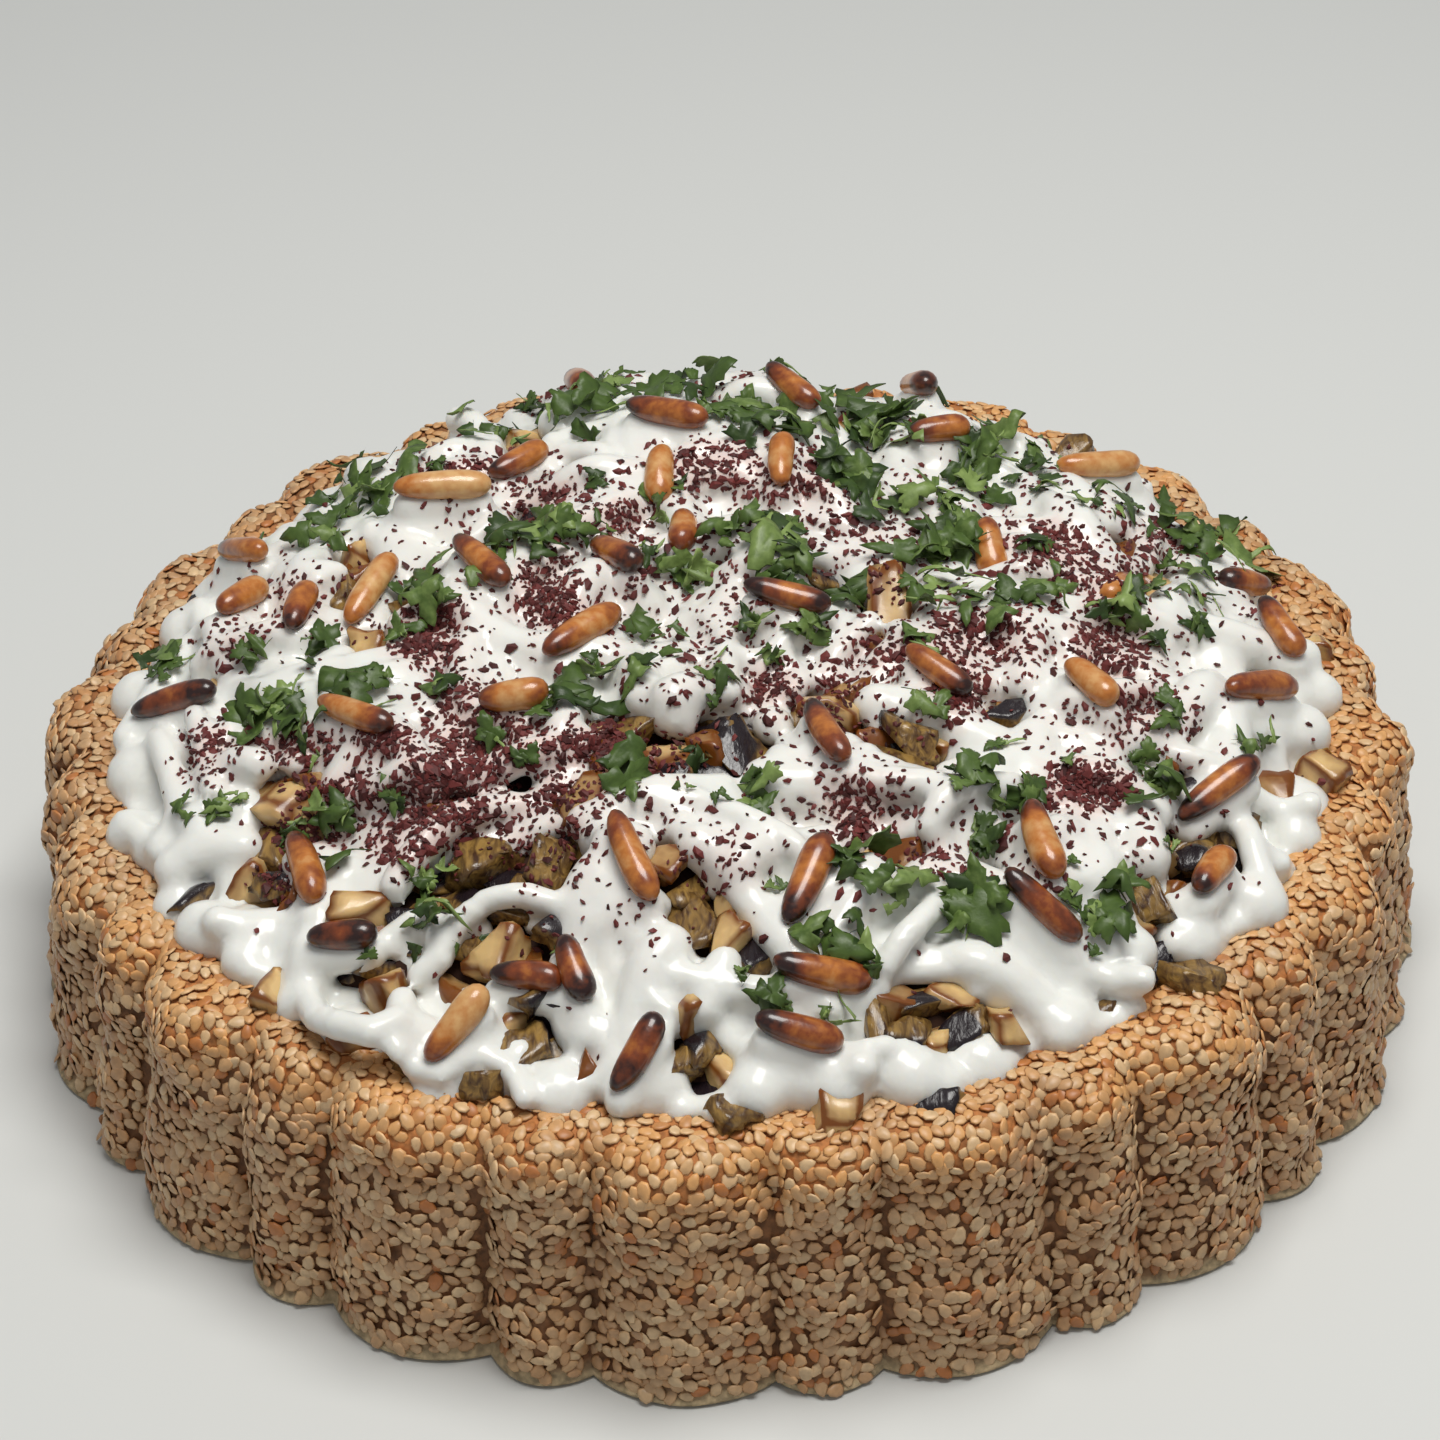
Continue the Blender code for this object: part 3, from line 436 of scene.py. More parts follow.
# How far the nut's own toast counts, and how much more its pointed and blunt ends have
NUT_TOAST_SHARE = 0.82
TIP_START = (0.5, 0.95)
TIP_TOASTS = (0.1, 0.7)
BUTT_START = (0.55, 0.95)
BUTT_TOASTS = (-0.1, 0.6)
STUB_LENGTH = 0.8 * NUT_LENGTH
STUB_SLOPE = 0.3 * NUT_LENGTH
STUB_RISE = 0.6 * MM
LEAF_DRAW = 21
LEAF_SIDES = 28
# Above this row of the view, leaves lie thicker: pixels of a clump for each leaf in it
THICK_PARSLEY_ROW = 640
THICK_PARSLEY_SHARE = 10.0
THIN_PARSLEY_SHARE = 14.0
CLUMP_SPREAD = 0.36
CLUMP_FORM = (0.6, 0.45)
CLUMP_LAYERS = 3
LEAF_OVERHANG = 4.0 * MM
LEAF_PIXELS = (30.0, 58.0)
LEAF_LEAST_PIXELS = 18.0
LEAF_MOST_SHARE = 0.95
LEAF_STRETCH = (0.9, 1.25)
NODE_LEAF_SHARE = 0.62
BACK_LEAVES = 80
BACK_LEAF_ANGLES = (25.0, 155.0)
BACK_LEAF_RADII = (66.0, 104.0)
BACK_LEAF_SIZES = (5.0, 11.0)
LEAF_MIDDLE = 0.37
LEAF_LOBE = 0.18
LEAF_FRONT = 0.3
LEAF_TOOTH = 0.07
LEAF_FOOT = 0.12
LEAF_INNER_RING = 0.55
LEAF_CUT_SHARE = 0.6
LEAF_CUTS = (-0.3, 0.2)
LEAF_BREADTHS = (0.5, 0.95)
LEAF_LEAN = 0.34
LEAF_UPRIGHTNESS = 0.3
LEAF_LIFT = 0.15 * MM
LAYER_LIFT = 0.45 * MM
LEAF_CURLS = (0.07, 0.17)
LEAF_CURL_SPANS = (0.16, 0.3)
LEAF_TONE = 0.45
LEAF_TONE_SPREAD = 0.25
STEM_SHARE = 0.1
STEM_WIDTH = 1.3 * MM
STEM_TONE = 0.95
DRAPE_REACH = 8.0 * MM
DRAPE_MISS = -0.3 * DRAPE_REACH
DRAPE_LIMIT = 0.4 * DRAPE_REACH
DRAPE_SHARE = 0.6
DRAPE_CLEAR = 0.7
CURL_ACROSS = 1.3
SUMAC_DRAW = 4
DRIFT_DENSITY = 1.1
DRIFT_SPREAD = 0.5
FLAKE_OVERHANG = 8.0 * MM
BACK_DRIFTS = 16
BACK_DRIFT_ANGLES = (20.0, 160.0)
BACK_DRIFT_RADII = (72.0, 108.0)
BACK_DRIFT_FLAKES = (8, 40)
BACK_DRIFT_SPREAD = (5.0, 4.0)
# A flake's corners round its rim, in degrees and widths, and its top and under points
FLAKE_TURNS = (0.0, 62.0, 148.0, 205.0, 292.0)
FLAKE_REACHES = (0.52, 0.4, 0.5, 0.34, 0.45)
FLAKE_TOP = (0.06, -0.04, 0.5)
FLAKE_UNDER = (-0.04, 0.03, -0.5)
# The mean and spread of the logarithm of a flake's width
FLAKE_SIZES = (-0.12, 0.38)
FLAKE_SIZE_LIMITS = (0.4, 2.2)
FLAKE_BREADTHS = (0.5, 0.9)
FLAKE_DEPTHS = (0.3, 0.6)
FLAKE_TILT = 0.35
FLAKE_LIFT = 0.1 * MM
STAIN_SPAN = 1.5 * MM
STAIN_BESIDE = 0.35
STAIN_FULL = 14.0
STAIN_MOST = 0.8
# A cell and the 26 cells round it
CELLS_ROUND = [(a, b, c) for a in (-1, 0, 1) for b in (-1, 0, 1) for c in (-1, 0, 1)]

# Stage
FLOOR_CORNERS = [(-3.0, -3.0, 0.0), (3.0, -3.0, 0.0), (3.0, 3.0, 0.0), (-3.0, 3.0, 0.0)]
FLOOR_DROP = 0.2 * MM
KEY_SIZE = 0.5
KEY_PLACE = (0.1, -0.04, 1.0)
KEY_COLOUR = (1.0, 0.985, 0.95)
FILL_SIZE = 0.9
FILL_PLACE = (-0.6, -0.7, 0.45)
FILL_COLOUR = (1.0, 0.98, 0.96)
ROOM_COLOUR = (0.98, 0.98, 1.0, 1.0)
CLIP_START = 0.05


def linear(code):
    """An sRGB hex colour as linear red, green and blue, with alpha 1."""
    parts = [int(code[k:k + 2], 16) / 255.0 for k in (1, 3, 5)]
    red, green, blue = [p / 12.92 if p < 0.04045 else ((p + 0.055) / 1.055) ** 2.4 for p in parts]
    return (red, green, blue, 1.0)


def size_setting(name, description, default, least=0.0):
    """A length that a user may change."""
    return FloatProperty(name=name, description=description, default=default, min=least,
                         precision=5, unit="LENGTH")


def colour_setting(name, description, code):
    """A colour that a user may change."""
    return FloatVectorProperty(name=name, description=description, default=linear(code), size=4,
                               min=0.0, max=1.0, subtype="COLOR")


class TartShellSettings(PropertyGroup):
    """Sizes and colours of the falafel shell and its sesame coat."""
    seed_length: size_setting("Seed length", "Mean length of a sesame seed", 3.15 * MM)
    seed_spacing: size_setting("Seed spacing", "Least distance between two seeds", 1.55 * MM)
    crumb: size_setting("Crumb", "Depth of the falafel's crumbly relief", 0.4 * MM)
    clod: size_setting("Clod", "Depth of the dents and clods in the wall", 2.1 * MM)
    # The wall colours are darker partly as painted shade; the rim colours are browned by toasting
    seed_colour: colour_setting("Seed", "Hulled sesame on the wall", "#BF966D")
    toasted_colour: colour_setting("Toasted seed", "Sesame on the rim, browned", "#DFA76A")
    pale_colour: colour_setting("Pale seed", "The palest sesame", "#E0C49A")
    spiced_colour: colour_setting("Spiced seed", "Sesame stained by oil and spice", "#B4692F")
    falafel_colour: colour_setting("Falafel", "Falafel on the wall", "#785030")
    baked_colour: colour_setting("Baked falafel", "Falafel on the rim, fried orange", "#B87640")
    foot_colour: colour_setting("Foot", "The pale lip along the base", "#C2AC86")


class TartFillingSettings(PropertyGroup):
    """Sizes and colours of the roast vegetables."""
    stand: size_setting("Stand", "How far the cubes stand out of the heap", 5.6 * MM)
    potato_colour: colour_setting("Potato", "Soft roast potato", "#D3B27A")
    browned_colour: colour_setting("Browned edge", "Where the oven browned a cube", "#74400F")
    flesh_colour: colour_setting("Aubergine flesh", "Roast aubergine inside", "#94743C")
    fibre_colour: colour_setting("Aubergine fibre", "Dark fibres of the flesh", "#412816")
    skin_colour: colour_setting("Aubergine skin", "Glossy skin, almost black", "#1E161B")


class TartSauceSettings(PropertyGroup):
    """Sizes and colour of the yogurt sauce."""
    voxel: size_setting("Voxel", "Mesh size of the sauce", 1.05 * MM, 0.5 * MM)
    strand_count: IntProperty(
        name="Strands", description="Ribbons of sauce that were poured over", default=250, min=0)
    strand_radius: size_setting("Strand radius", "Mean radius of a ribbon", 4.1 * MM)
    sheet_hold: FloatProperty(
        name="Hold", description="How well the sheet holds: higher values leave fewer gaps in it",
        default=0.2, min=0.0, max=1.0)
    yogurt_colour: colour_setting("Yogurt", "Strained yogurt with a little tahini", "#E3E4DF")
    stain_colour: colour_setting("Stain", "Yogurt tinted by sumac", "#DFC4BC")


class TartToppingSettings(PropertyGroup):
    """Sizes and colours of what is scattered on the sauce."""
    nut_width: size_setting("Nut width", "Width of a pine nut", 5.5 * MM)
    leaf_thickness: size_setting("Leaf thickness", "Thickness of a parsley leaf", 0.22 * MM)
    flake: size_setting("Sumac flake", "Mean width of a flake of sumac", 1.55 * MM)
    pale_nut: colour_setting("Pale nut", "Barely toasted pine nut", "#D2A66E")
    golden_nut: colour_setting("Golden nut", "Golden toasted pine nut", "#B46E2F")
    brown_nut: colour_setting("Brown nut", "Deeply toasted pine nut", "#7C3B1B")
    dark_nut: colour_setting("Dark nut", "Pine nut toasted almost black", "#2A1310")
    leaf_colour: colour_setting("Leaf", "Upper face of a parsley leaf", "#4A602A")
    dark_leaf: colour_setting("Dark leaf", "Darkest parsley", "#2C3F1B")
    pale_leaf: colour_setting("Pale leaf", "Stems and the palest parsley", "#7F9453")
    sumac_colour: colour_setting("Sumac", "Ground sumac", "#57211F")


class TartStageSettings(PropertyGroup):
    """The floor and the lights."""
    floor_colour: colour_setting("Floor", "Plain matte floor", "#CFD1CF")
    key_power: FloatProperty(
        name="Key light", description="Power of the light overhead, in watts", default=9.4, min=0.0)
    fill_power: FloatProperty(
        name="Fill light", description="Power of the light in front, in watts", default=0.14,
        min=0.0)
    sky: FloatProperty(
        name="Room light", description="Strength of the even light all round", default=0.27,
        min=0.0)


def heap_height(x, y):
    """The height of the bare heap, from the middle of the tart, which falls to the rim."""
    fall = 1.0 - min(math.hypot(x, y) / HEAP_RADIUS, 1.0) ** HEAP_POWER
    lump = noise.noise(Vector((x, y, 0.0)) / HEAP_LUMP_SPAN) * HEAP_LUMP
    away = math.hypot(x - CROWN_MIDDLE.x, y - CROWN_MIDDLE.y) / CROWN_RADIUS
    crown = CROWN_RISE * math.exp(-away * away)
    return HEAP_EDGE_HEIGHT + HEAP_RISE * fall + (lump + crown) * fall


def sauce_height(x, y):
    """The height of the top of the sauce, without what is fine."""
    lump = noise.noise(Vector((x, y, 0.0)) / SAUCE_LUMP_SPAN) * SAUCE_LUMP
    return max(heap_height(x, y), RECESS_EDGE_HEIGHT) + SAUCE_THICK + lump


def view_axes():
    """The eye point and the camera's right, up and forward directions."""
    forward = Vector((0.0, math.cos(VIEW_ELEVATION), -math.sin(VIEW_ELEVATION)))
    side = Vector((1.0, 0.0, 0.0))
    rise = side.cross(forward)
    right = math.cos(VIEW_ROLL) * side + math.sin(VIEW_ROLL) * rise
    up = math.cos(VIEW_ROLL) * rise - math.sin(VIEW_ROLL) * side
    return VIEW_AIM - VIEW_DISTANCE * forward, right, up, forward


def sight(px, py):
    """The eye point and the direction in which a pixel of the view is seen."""
    eye, right, up, forward = view_axes()
    across = (px - VIEW_SIZE / 2.0) / VIEW_FOCAL
    down = (py - VIEW_SIZE / 2.0) / VIEW_FOCAL
    return eye, (forward + right * across - up * down).normalized()


def seen_at(px, py, height=sauce_height):
    """The place where a pixel of the view meets a surface of heights, or the nearest skyline."""
    eye, line = sight(px, py)
    place = eye + line * ((SIGHT_TOP - eye.z) / line.z)
    nearest = place
    least = 1.0
    while place.z > RECESS_EDGE_HEIGHT and least > 0.0:
        place = place + line * SIGHT_STEP
        above = place.z - height(place.x, place.y)
        if above < least and math.hypot(place.x, place.y) < SAUCE_EDGE_RADIUS + SAUCE_EDGE_WAVE:
            least = above
            nearest = place
    return nearest


def pixel_size(place):
    """The real size of a pixel of the view at a place."""
    return (place - view_axes()[0]).length / VIEW_FOCAL


def opening_plan():
    """The openings in plan: middle, half width along X and half width along Y."""
    plan = []
    for px, py, wide, high in OPENINGS:
        middle = seen_at(px, py)
        pixel = pixel_size(middle)
        across = wide / 2.0 * pixel
        run = (seen_at(px, py - high / 2.0) - seen_at(px, py + high / 2.0)).xy.length / 2.0
        deep = min(run, high / 2.0 * pixel / math.sin(VIEW_ELEVATION), OPENING_LONGEST * across)
        plan.append((middle.x, middle.y, across, deep))
    return np.array(plan)


def at_back(angle):
    """0 along the tart's front half and by the hindmost nut, and 1 along the rest of its back."""
    beside = (angle - HINDMOST_NUT_ANGLE) / HINDMOST_NUT_SPREAD
    return smooth_step(*BACK_START, np.sin(angle)) * (1.0 - np.exp(-beside ** 2))


def sauce_edge(angle):
    """The radius of the sauce's wavy outer edge at each angle."""
    fine = EDGE_FINE_SHARE * np.sin(EDGE_FINE_WAVES * angle + 1.0)
    wave = (np.sin(EDGE_WAVES * angle) + fine) / (1.0 + EDGE_FINE_SHARE)
    return SAUCE_EDGE_RADIUS + SAUCE_EDGE_WAVE * wave - BACK_DRAW * at_back(angle)


def sauce_reach(places, plan):
    """How far each place lies inside the sauce's edge: below 0 outside and in the openings."""
    x, y = places[:, 0], places[:, 1]
    outer = sauce_edge(np.arctan2(y, x)) - np.hypot(x, y)
    reach = outer.copy()
    for number, (ox, oy, across, deep) in enumerate(plan):
        turn = np.arctan2(y - oy, x - ox)
        ragged = sum((depth * np.sin(waves * turn + shift * number)
                      for depth, waves, shift in OPENING_RAGS), 1.0)
        away = (np.hypot((x - ox) / across, (y - oy) / deep) - ragged) * min(across, deep)
        if number >= RIM_OPENING_COUNT:
            away = np.maximum(away, RIM_BAND - outer)
        reach = np.minimum(reach, away)
    return reach


def noise_of(points, span, shift=0.0):
    """Smooth noise from about -0.7 to 0.7 at each point, with bumps about as wide as the span."""
    offset = Vector((shift, 0.0, 0.0))
    return np.array([noise.noise(Vector(p) / span + offset) for p in points])


def smooth_step(low, high, values):
    """0 below low and 1 above high, with a smooth rise between."""
    share = np.clip((values - low) / (high - low), 0.0, 1.0)
    return share * share * (3.0 - 2.0 * share)


def mesh_piece(name, points, faces, finish, **numbers):
    """Make a smooth object of points and faces, with named numbers for its points."""
    faces = faces.tolist() if isinstance(faces, np.ndarray) else faces
    mesh = bpy.data.meshes.new(name)
    mesh.from_pydata(np.asarray(points).tolist(), [], faces)
    mesh.shade_smooth()
    for key, values in numbers.items():
        layer = mesh.attributes.new(key, "FLOAT", "POINT")
        layer.data.foreach_set("value", np.asarray(values, dtype=np.float32))
    item = bpy.data.objects.new(name, mesh)
    bpy.context.scene.collection.objects.link(item)
    if finish:
        mesh.materials.append(finish)
    return item


def put_in_frame(item, slot, *nodes):
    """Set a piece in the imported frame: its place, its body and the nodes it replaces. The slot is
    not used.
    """
    item.data.transform(Matrix.Translation(MIDDLE))
    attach(item, BODY)
    if nodes:
        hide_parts(*nodes)


def ball_shape(steps):
    """The points and triangles of an icosphere of radius 1."""
    bpy.ops.mesh.primitive_ico_sphere_add(subdivisions=steps, radius=1.0)
    ball = bpy.context.object
    points = np.array([v.co[:] for v in ball.data.vertices])
    faces = np.array([face.vertices[:] for face in ball.data.polygons])
    bpy.data.objects.remove(ball, do_unlink=True)
    return points, faces


def repeated(faces, times, size):
    """The faces of a shape with so many points, numbered on for each of its copies."""
    first = np.arange(times)[:, None, None] * size
    return (faces[None] + first).reshape(-1, faces.shape[1])


def copies(points, faces, frames, places):
    """Copies of a shape, each turned and sized by a 3 by 3 frame and moved to a place."""
    spread = np.einsum("kij,nj->kni", frames, points) + np.asarray(places)[:, None, :]
    return spread.reshape(-1, 3), repeated(faces, len(places), len(points))


def resting_frames(normals, turns, sizes):
    """3 by 3 frames whose third axis is the normal, turned about it, and sized along each axis."""
    normals = normals / np.linalg.norm(normals, axis=1, keepdims=True)
    helper = np.where(np.abs(normals[:, 2:3]) < 0.9, [[0.0, 0.0, 1.0]], [[1.0, 0.0, 0.0]])
    first = np.cross(helper, normals)
    first /= np.linalg.norm(first, axis=1, keepdims=True)
    second = np.cross(normals, first)
    cosine, sine = np.cos(turns)[:, None], np.sin(turns)[:, None]
    along = first * cosine + second * sine
    across = second * cosine - first * sine
    return np.stack((along * sizes[:, :1], across * sizes[:, 1:2], normals * sizes[:, 2:]), axis=2)


def spaced(points, least):
    """The numbers of the points that keep a least distance, the earlier ones first."""
    cells = {}
    kept = []
    keys = np.floor(points / least).astype(int)
    for number, (point, (i, j, k)) in enumerate(zip(points.tolist(), keys.tolist())):
        near = (cells.get((i + a, j + b, k + c)) for a, b, c in CELLS_ROUND)
        if any(math.dist(point, other) < least for group in near if group for other in group):
            continue
        cells.setdefault((i, j, k), []).append(point)
        kept.append(number)
    return kept


def add_node(tree, kind, values=None, links=None, stops=None, **settings):
    """Add a node: its settings, its ramp's stops, its sockets' values and what links to them."""
    node = tree.nodes.new(kind)
    for name, value in settings.items():
        setattr(node, name, value)
    for number, (position, colour) in enumerate(stops or ()):
        elements = node.color_ramp.elements
        element = elements[number] if number < len(elements) else elements.new(position)
        element.position = position
        element.color = colour
    for socket, value in (values or {}).items():
        node.inputs[socket].default_value = value
    for socket, source in (links or {}).items():
        tree.links.new(source, node.inputs[socket])
    return node


def new_finish(name):
    """An empty material with its tree."""
    finish = bpy.data.materials.new(name)
    finish.use_nodes = True
    finish.node_tree.nodes.clear()
    return finish, finish.node_tree


def baked_falafel(look):
    """Falafel paste baked in a tin: dry, crumbly, fried orange on the rim, and brown on the wall
    partly as painted shade.
    """
    finish, tree = new_finish("baked falafel")
    place = add_node(tree, "ShaderNodeTexCoord").outputs["Object"]
    toast, foot = (
        add_node(tree, "ShaderNodeAttribute", attribute_name=name).outputs["Fac"]
        for name in ("toast", "foot"))
    # Crumbs of ground chickpea are about 1.5 mm across
    crumbs = add_node(tree, "ShaderNodeTexNoise", {"Scale": 1.0 / (1.5 * MM), "Detail": 4.0},
                      {"Vector": place}).outputs["Fac"]
    speck = add_node(tree, "ShaderNodeMapRange", {"From Min": 0.35, "From Max": 0.65,
                     "To Min": 0.55, "To Max": 1.1}, {"Value": crumbs}).outputs["Result"]
    # Toast runs from the wall colour to the rim colour: real browning, with painted shade on the
    # wall and at the back left of the rim
    base = add_node(tree, "ShaderNodeMix", {6: look.falafel_colour, 7: look.baked_colour},
                    {0: toast}, data_type="RGBA").outputs[2]
    mixed = add_node(tree, "ShaderNodeMix", {7: look.foot_colour}, {0: foot, 6: base},
                     data_type="RGBA").outputs[2]
    colour = add_node(tree, "ShaderNodeVectorMath", links={0: mixed, 1: speck},
                      operation="MULTIPLY").outputs["Vector"]
    bump = add_node(tree, "ShaderNodeBump", {"Strength": 0.8, "Distance": 0.4 * MM},
                    {"Height": crumbs}).outputs["Normal"]
    shader = add_node(tree, "ShaderNodeBsdfPrincipled", {"Roughness": 0.8, "IOR": 1.45},
                      {"Base Color": colour, "Normal": bump})
    add_node(tree, "ShaderNodeOutputMaterial", links={"Surface": shader.outputs["BSDF"]})
    return finish


def toasted_sesame(look):
    """Hulled sesame, oven toasted: satin, slightly see-through, golden on the rim, darker on the
    wall partly as painted shade.
    """
    finish, tree = new_finish("toasted sesame")
    place = add_node(tree, "ShaderNodeTexCoord").outputs["Object"]
    toast, tone, edge = (
        add_node(tree, "ShaderNodeAttribute", attribute_name=name).outputs["Fac"]
        for name in ("toast", "tone", "edge"))
    # Toast runs from the wall colour to the rim colour: real browning, with painted shade on the
    # wall and at the back left of the rim
    base = add_node(tree, "ShaderNodeMix", {6: look.seed_colour, 7: look.toasted_colour},
                    {0: toast}, data_type="RGBA").outputs[2]
    share = add_node(tree, "ShaderNodeMapRange", {"From Min": 0.45, "From Max": 1.0,
                     "To Min": 0.0, "To Max": 0.75}, {"Value": tone}).outputs["Result"]
    pale = add_node(tree, "ShaderNodeMix", {7: look.pale_colour}, {0: share, 6: base},
                    data_type="RGBA").outputs[2]
    # A few seeds took up spice and oil
    spice = add_node(tree, "ShaderNodeMapRange", {"From Min": 0.04, "From Max": 0.12,
                     "To Min": 0.8, "To Max": 0.0}, {"Value": tone}).outputs["Result"]
    pale = add_node(tree, "ShaderNodeMix", {7: look.spiced_colour}, {0: spice, 6: pale},
                    data_type="RGBA").outputs[2]
    # The hull shows a paler seam round the edge and a duller middle, and varies over about 1 mm
    mottle = add_node(tree, "ShaderNodeTexNoise", {"Scale": 1.0 / (1.2 * MM), "Detail": 2.0},
                      {"Vector": place}).outputs["Fac"]
    middle = add_node(tree, "ShaderNodeMapRange", {"To Min": 0.84, "To Max": 1.12},
                      {"Value": edge}).outputs["Result"]
    dull = add_node(tree, "ShaderNodeMapRange", {"From Min": 0.3, "From Max": 0.7,
                    "To Min": 0.84, "To Max": 1.08}, {"Value": mottle}).outputs["Result"]
    both = add_node(tree, "ShaderNodeMath", links={0: middle, 1: dull},
                    operation="MULTIPLY").outputs[0]
    colour = add_node(tree, "ShaderNodeVectorMath", links={0: pale, 1: both},
                      operation="MULTIPLY").outputs["Vector"]
    shader = add_node(tree, "ShaderNodeBsdfPrincipled", {"Roughness": 0.42, "IOR": 1.47},
                      {"Base Color": colour})
    add_node(tree, "ShaderNodeOutputMaterial", links={"Surface": shader.outputs["BSDF"]})
    return finish


def roast_potato(look):
    """Potato roasted in oil: soft, slightly see-through, browned at its edges, with a gloss."""
    finish, tree = new_finish("roast potato")
    place = add_node(tree, "ShaderNodeTexCoord").outputs["Object"]
    edge, tone = (
        add_node(tree, "ShaderNodeAttribute", attribute_name=name).outputs["Fac"]
        for name in ("edge", "tone"))
    # Browned blotches are about 5 mm across
    blotch = add_node(tree, "ShaderNodeTexNoise", {"Scale": 1.0 / (5.0 * MM), "Detail": 3.0},
                      {"Vector": place}).outputs["Fac"]
    lifted = add_node(tree, "ShaderNodeMath", links={0: edge, 1: blotch},
                      operation="ADD").outputs[0]
    worn = add_node(tree, "ShaderNodeMath", {2: -0.35}, {0: tone, 1: tone, 2: lifted},
                    operation="MULTIPLY_ADD").outputs[0]
    browned = add_node(tree, "ShaderNodeMapRange", {"From Min": 0.55, "From Max": 1.45},
                       {"Value": worn}).outputs["Result"]
    colour = add_node(tree, "ShaderNodeMix", {6: look.potato_colour, 7: look.browned_colour},
                      {0: browned}, data_type="RGBA").outputs[2]
    bump = add_node(tree, "ShaderNodeBump", {"Strength": 0.4, "Distance": 0.5 * MM},
                    {"Height": blotch}).outputs["Normal"]
    shader = add_node(tree, "ShaderNodeBsdfPrincipled",
                      {"Roughness": 0.34, "IOR": 1.45,
                       "Subsurface Weight": 0.4, "Coat Weight": 0.35, "Coat Roughness": 0.12,
                       "Subsurface Radius": (1.0, 0.6, 0.25), "Subsurface Scale": 2.0 * MM},
                      {"Base Color": colour, "Normal": bump})
    add_node(tree, "ShaderNodeOutputMaterial", links={"Surface": shader.outputs["BSDF"]})
    return finish


def roast_aubergine(look):
    """Aubergine roasted in oil: olive-brown fibrous flesh, and a glossy skin, almost black."""
    finish, tree = new_finish("roast aubergine")
    place = add_node(tree, "ShaderNodeTexCoord").outputs["Object"]
    skin, edge = (
        add_node(tree, "ShaderNodeAttribute", attribute_name=name).outputs["Fac"]
        for name in ("skin", "edge"))
    # Fibres are about 1 mm across and several times as long
    stretch = add_node(tree, "ShaderNodeMapping", {"Scale": (1.0, 0.3, 0.8)},
                       {"Vector": place}).outputs["Vector"]
    fibres = add_node(tree, "ShaderNodeTexNoise", {"Scale": 1.0 / (1.4 * MM), "Detail": 5.0,
                      "Distortion": 0.9}, {"Vector": stretch}).outputs["Fac"]
    dark = add_node(tree, "ShaderNodeMapRange", {"From Min": 0.36, "From Max": 0.66},
                    {"Value": fibres}).outputs["Result"]
    flesh = add_node(tree, "ShaderNodeMix", {6: look.flesh_colour, 7: look.fibre_colour},
                     {0: dark}, data_type="RGBA").outputs[2]
    scorch = add_node(tree, "ShaderNodeMapRange", {"From Min": 0.5, "From Max": 1.0,
                      "To Max": 0.6}, {"Value": edge}).outputs["Result"]
    seared = add_node(tree, "ShaderNodeMix", {7: look.fibre_colour}, {0: scorch, 6: flesh},
                      data_type="RGBA").outputs[2]
    colour = add_node(tree, "ShaderNodeMix", {7: look.skin_colour}, {0: skin, 6: seared},
                      data_type="RGBA").outputs[2]
    rough = add_node(tree, "ShaderNodeMapRange", {"To Min": 0.3, "To Max": 0.27},
                     {"Value": skin}).outputs["Result"]
    bump = add_node(tree, "ShaderNodeBump", {"Strength": 0.7, "Distance": 0.5 * MM},
                    {"Height": fibres}).outputs["Normal"]
    shader = add_node(tree, "ShaderNodeBsdfPrincipled",
                      {"IOR": 1.45, "Coat Weight": 0.3, "Coat Roughness": 0.12},
                      {"Base Color": colour, "Roughness": rough, "Normal": bump})
    add_node(tree, "ShaderNodeOutputMaterial", links={"Surface": shader.outputs["BSDF"]})
    return finish


def roast_crumble(look):
    """The inside of the heap between the cubes, near black."""
    finish, tree = new_finish("roast crumble")
    place = add_node(tree, "ShaderNodeTexCoord").outputs["Object"]
    bits = add_node(tree, "ShaderNodeTexNoise", {"Scale": 1.0 / (3.0 * MM), "Detail": 4.0},
                    {"Vector": place}).outputs["Fac"]
    colour = add_node(tree, "ShaderNodeMix", {6: look.skin_colour, 7: look.fibre_colour},
                      {0: bits}, data_type="RGBA").outputs[2]
    bump = add_node(tree, "ShaderNodeBump", {"Strength": 0.8, "Distance": 1.0 * MM},
                    {"Height": bits}).outputs["Normal"]
    shader = add_node(tree, "ShaderNodeBsdfPrincipled",
                      {"Roughness": 0.9, "IOR": 1.45, "Specular IOR Level": 0.2},
                      {"Base Color": colour, "Normal": bump})
    add_node(tree, "ShaderNodeOutputMaterial", links={"Surface": shader.outputs["BSDF"]})
    return finish


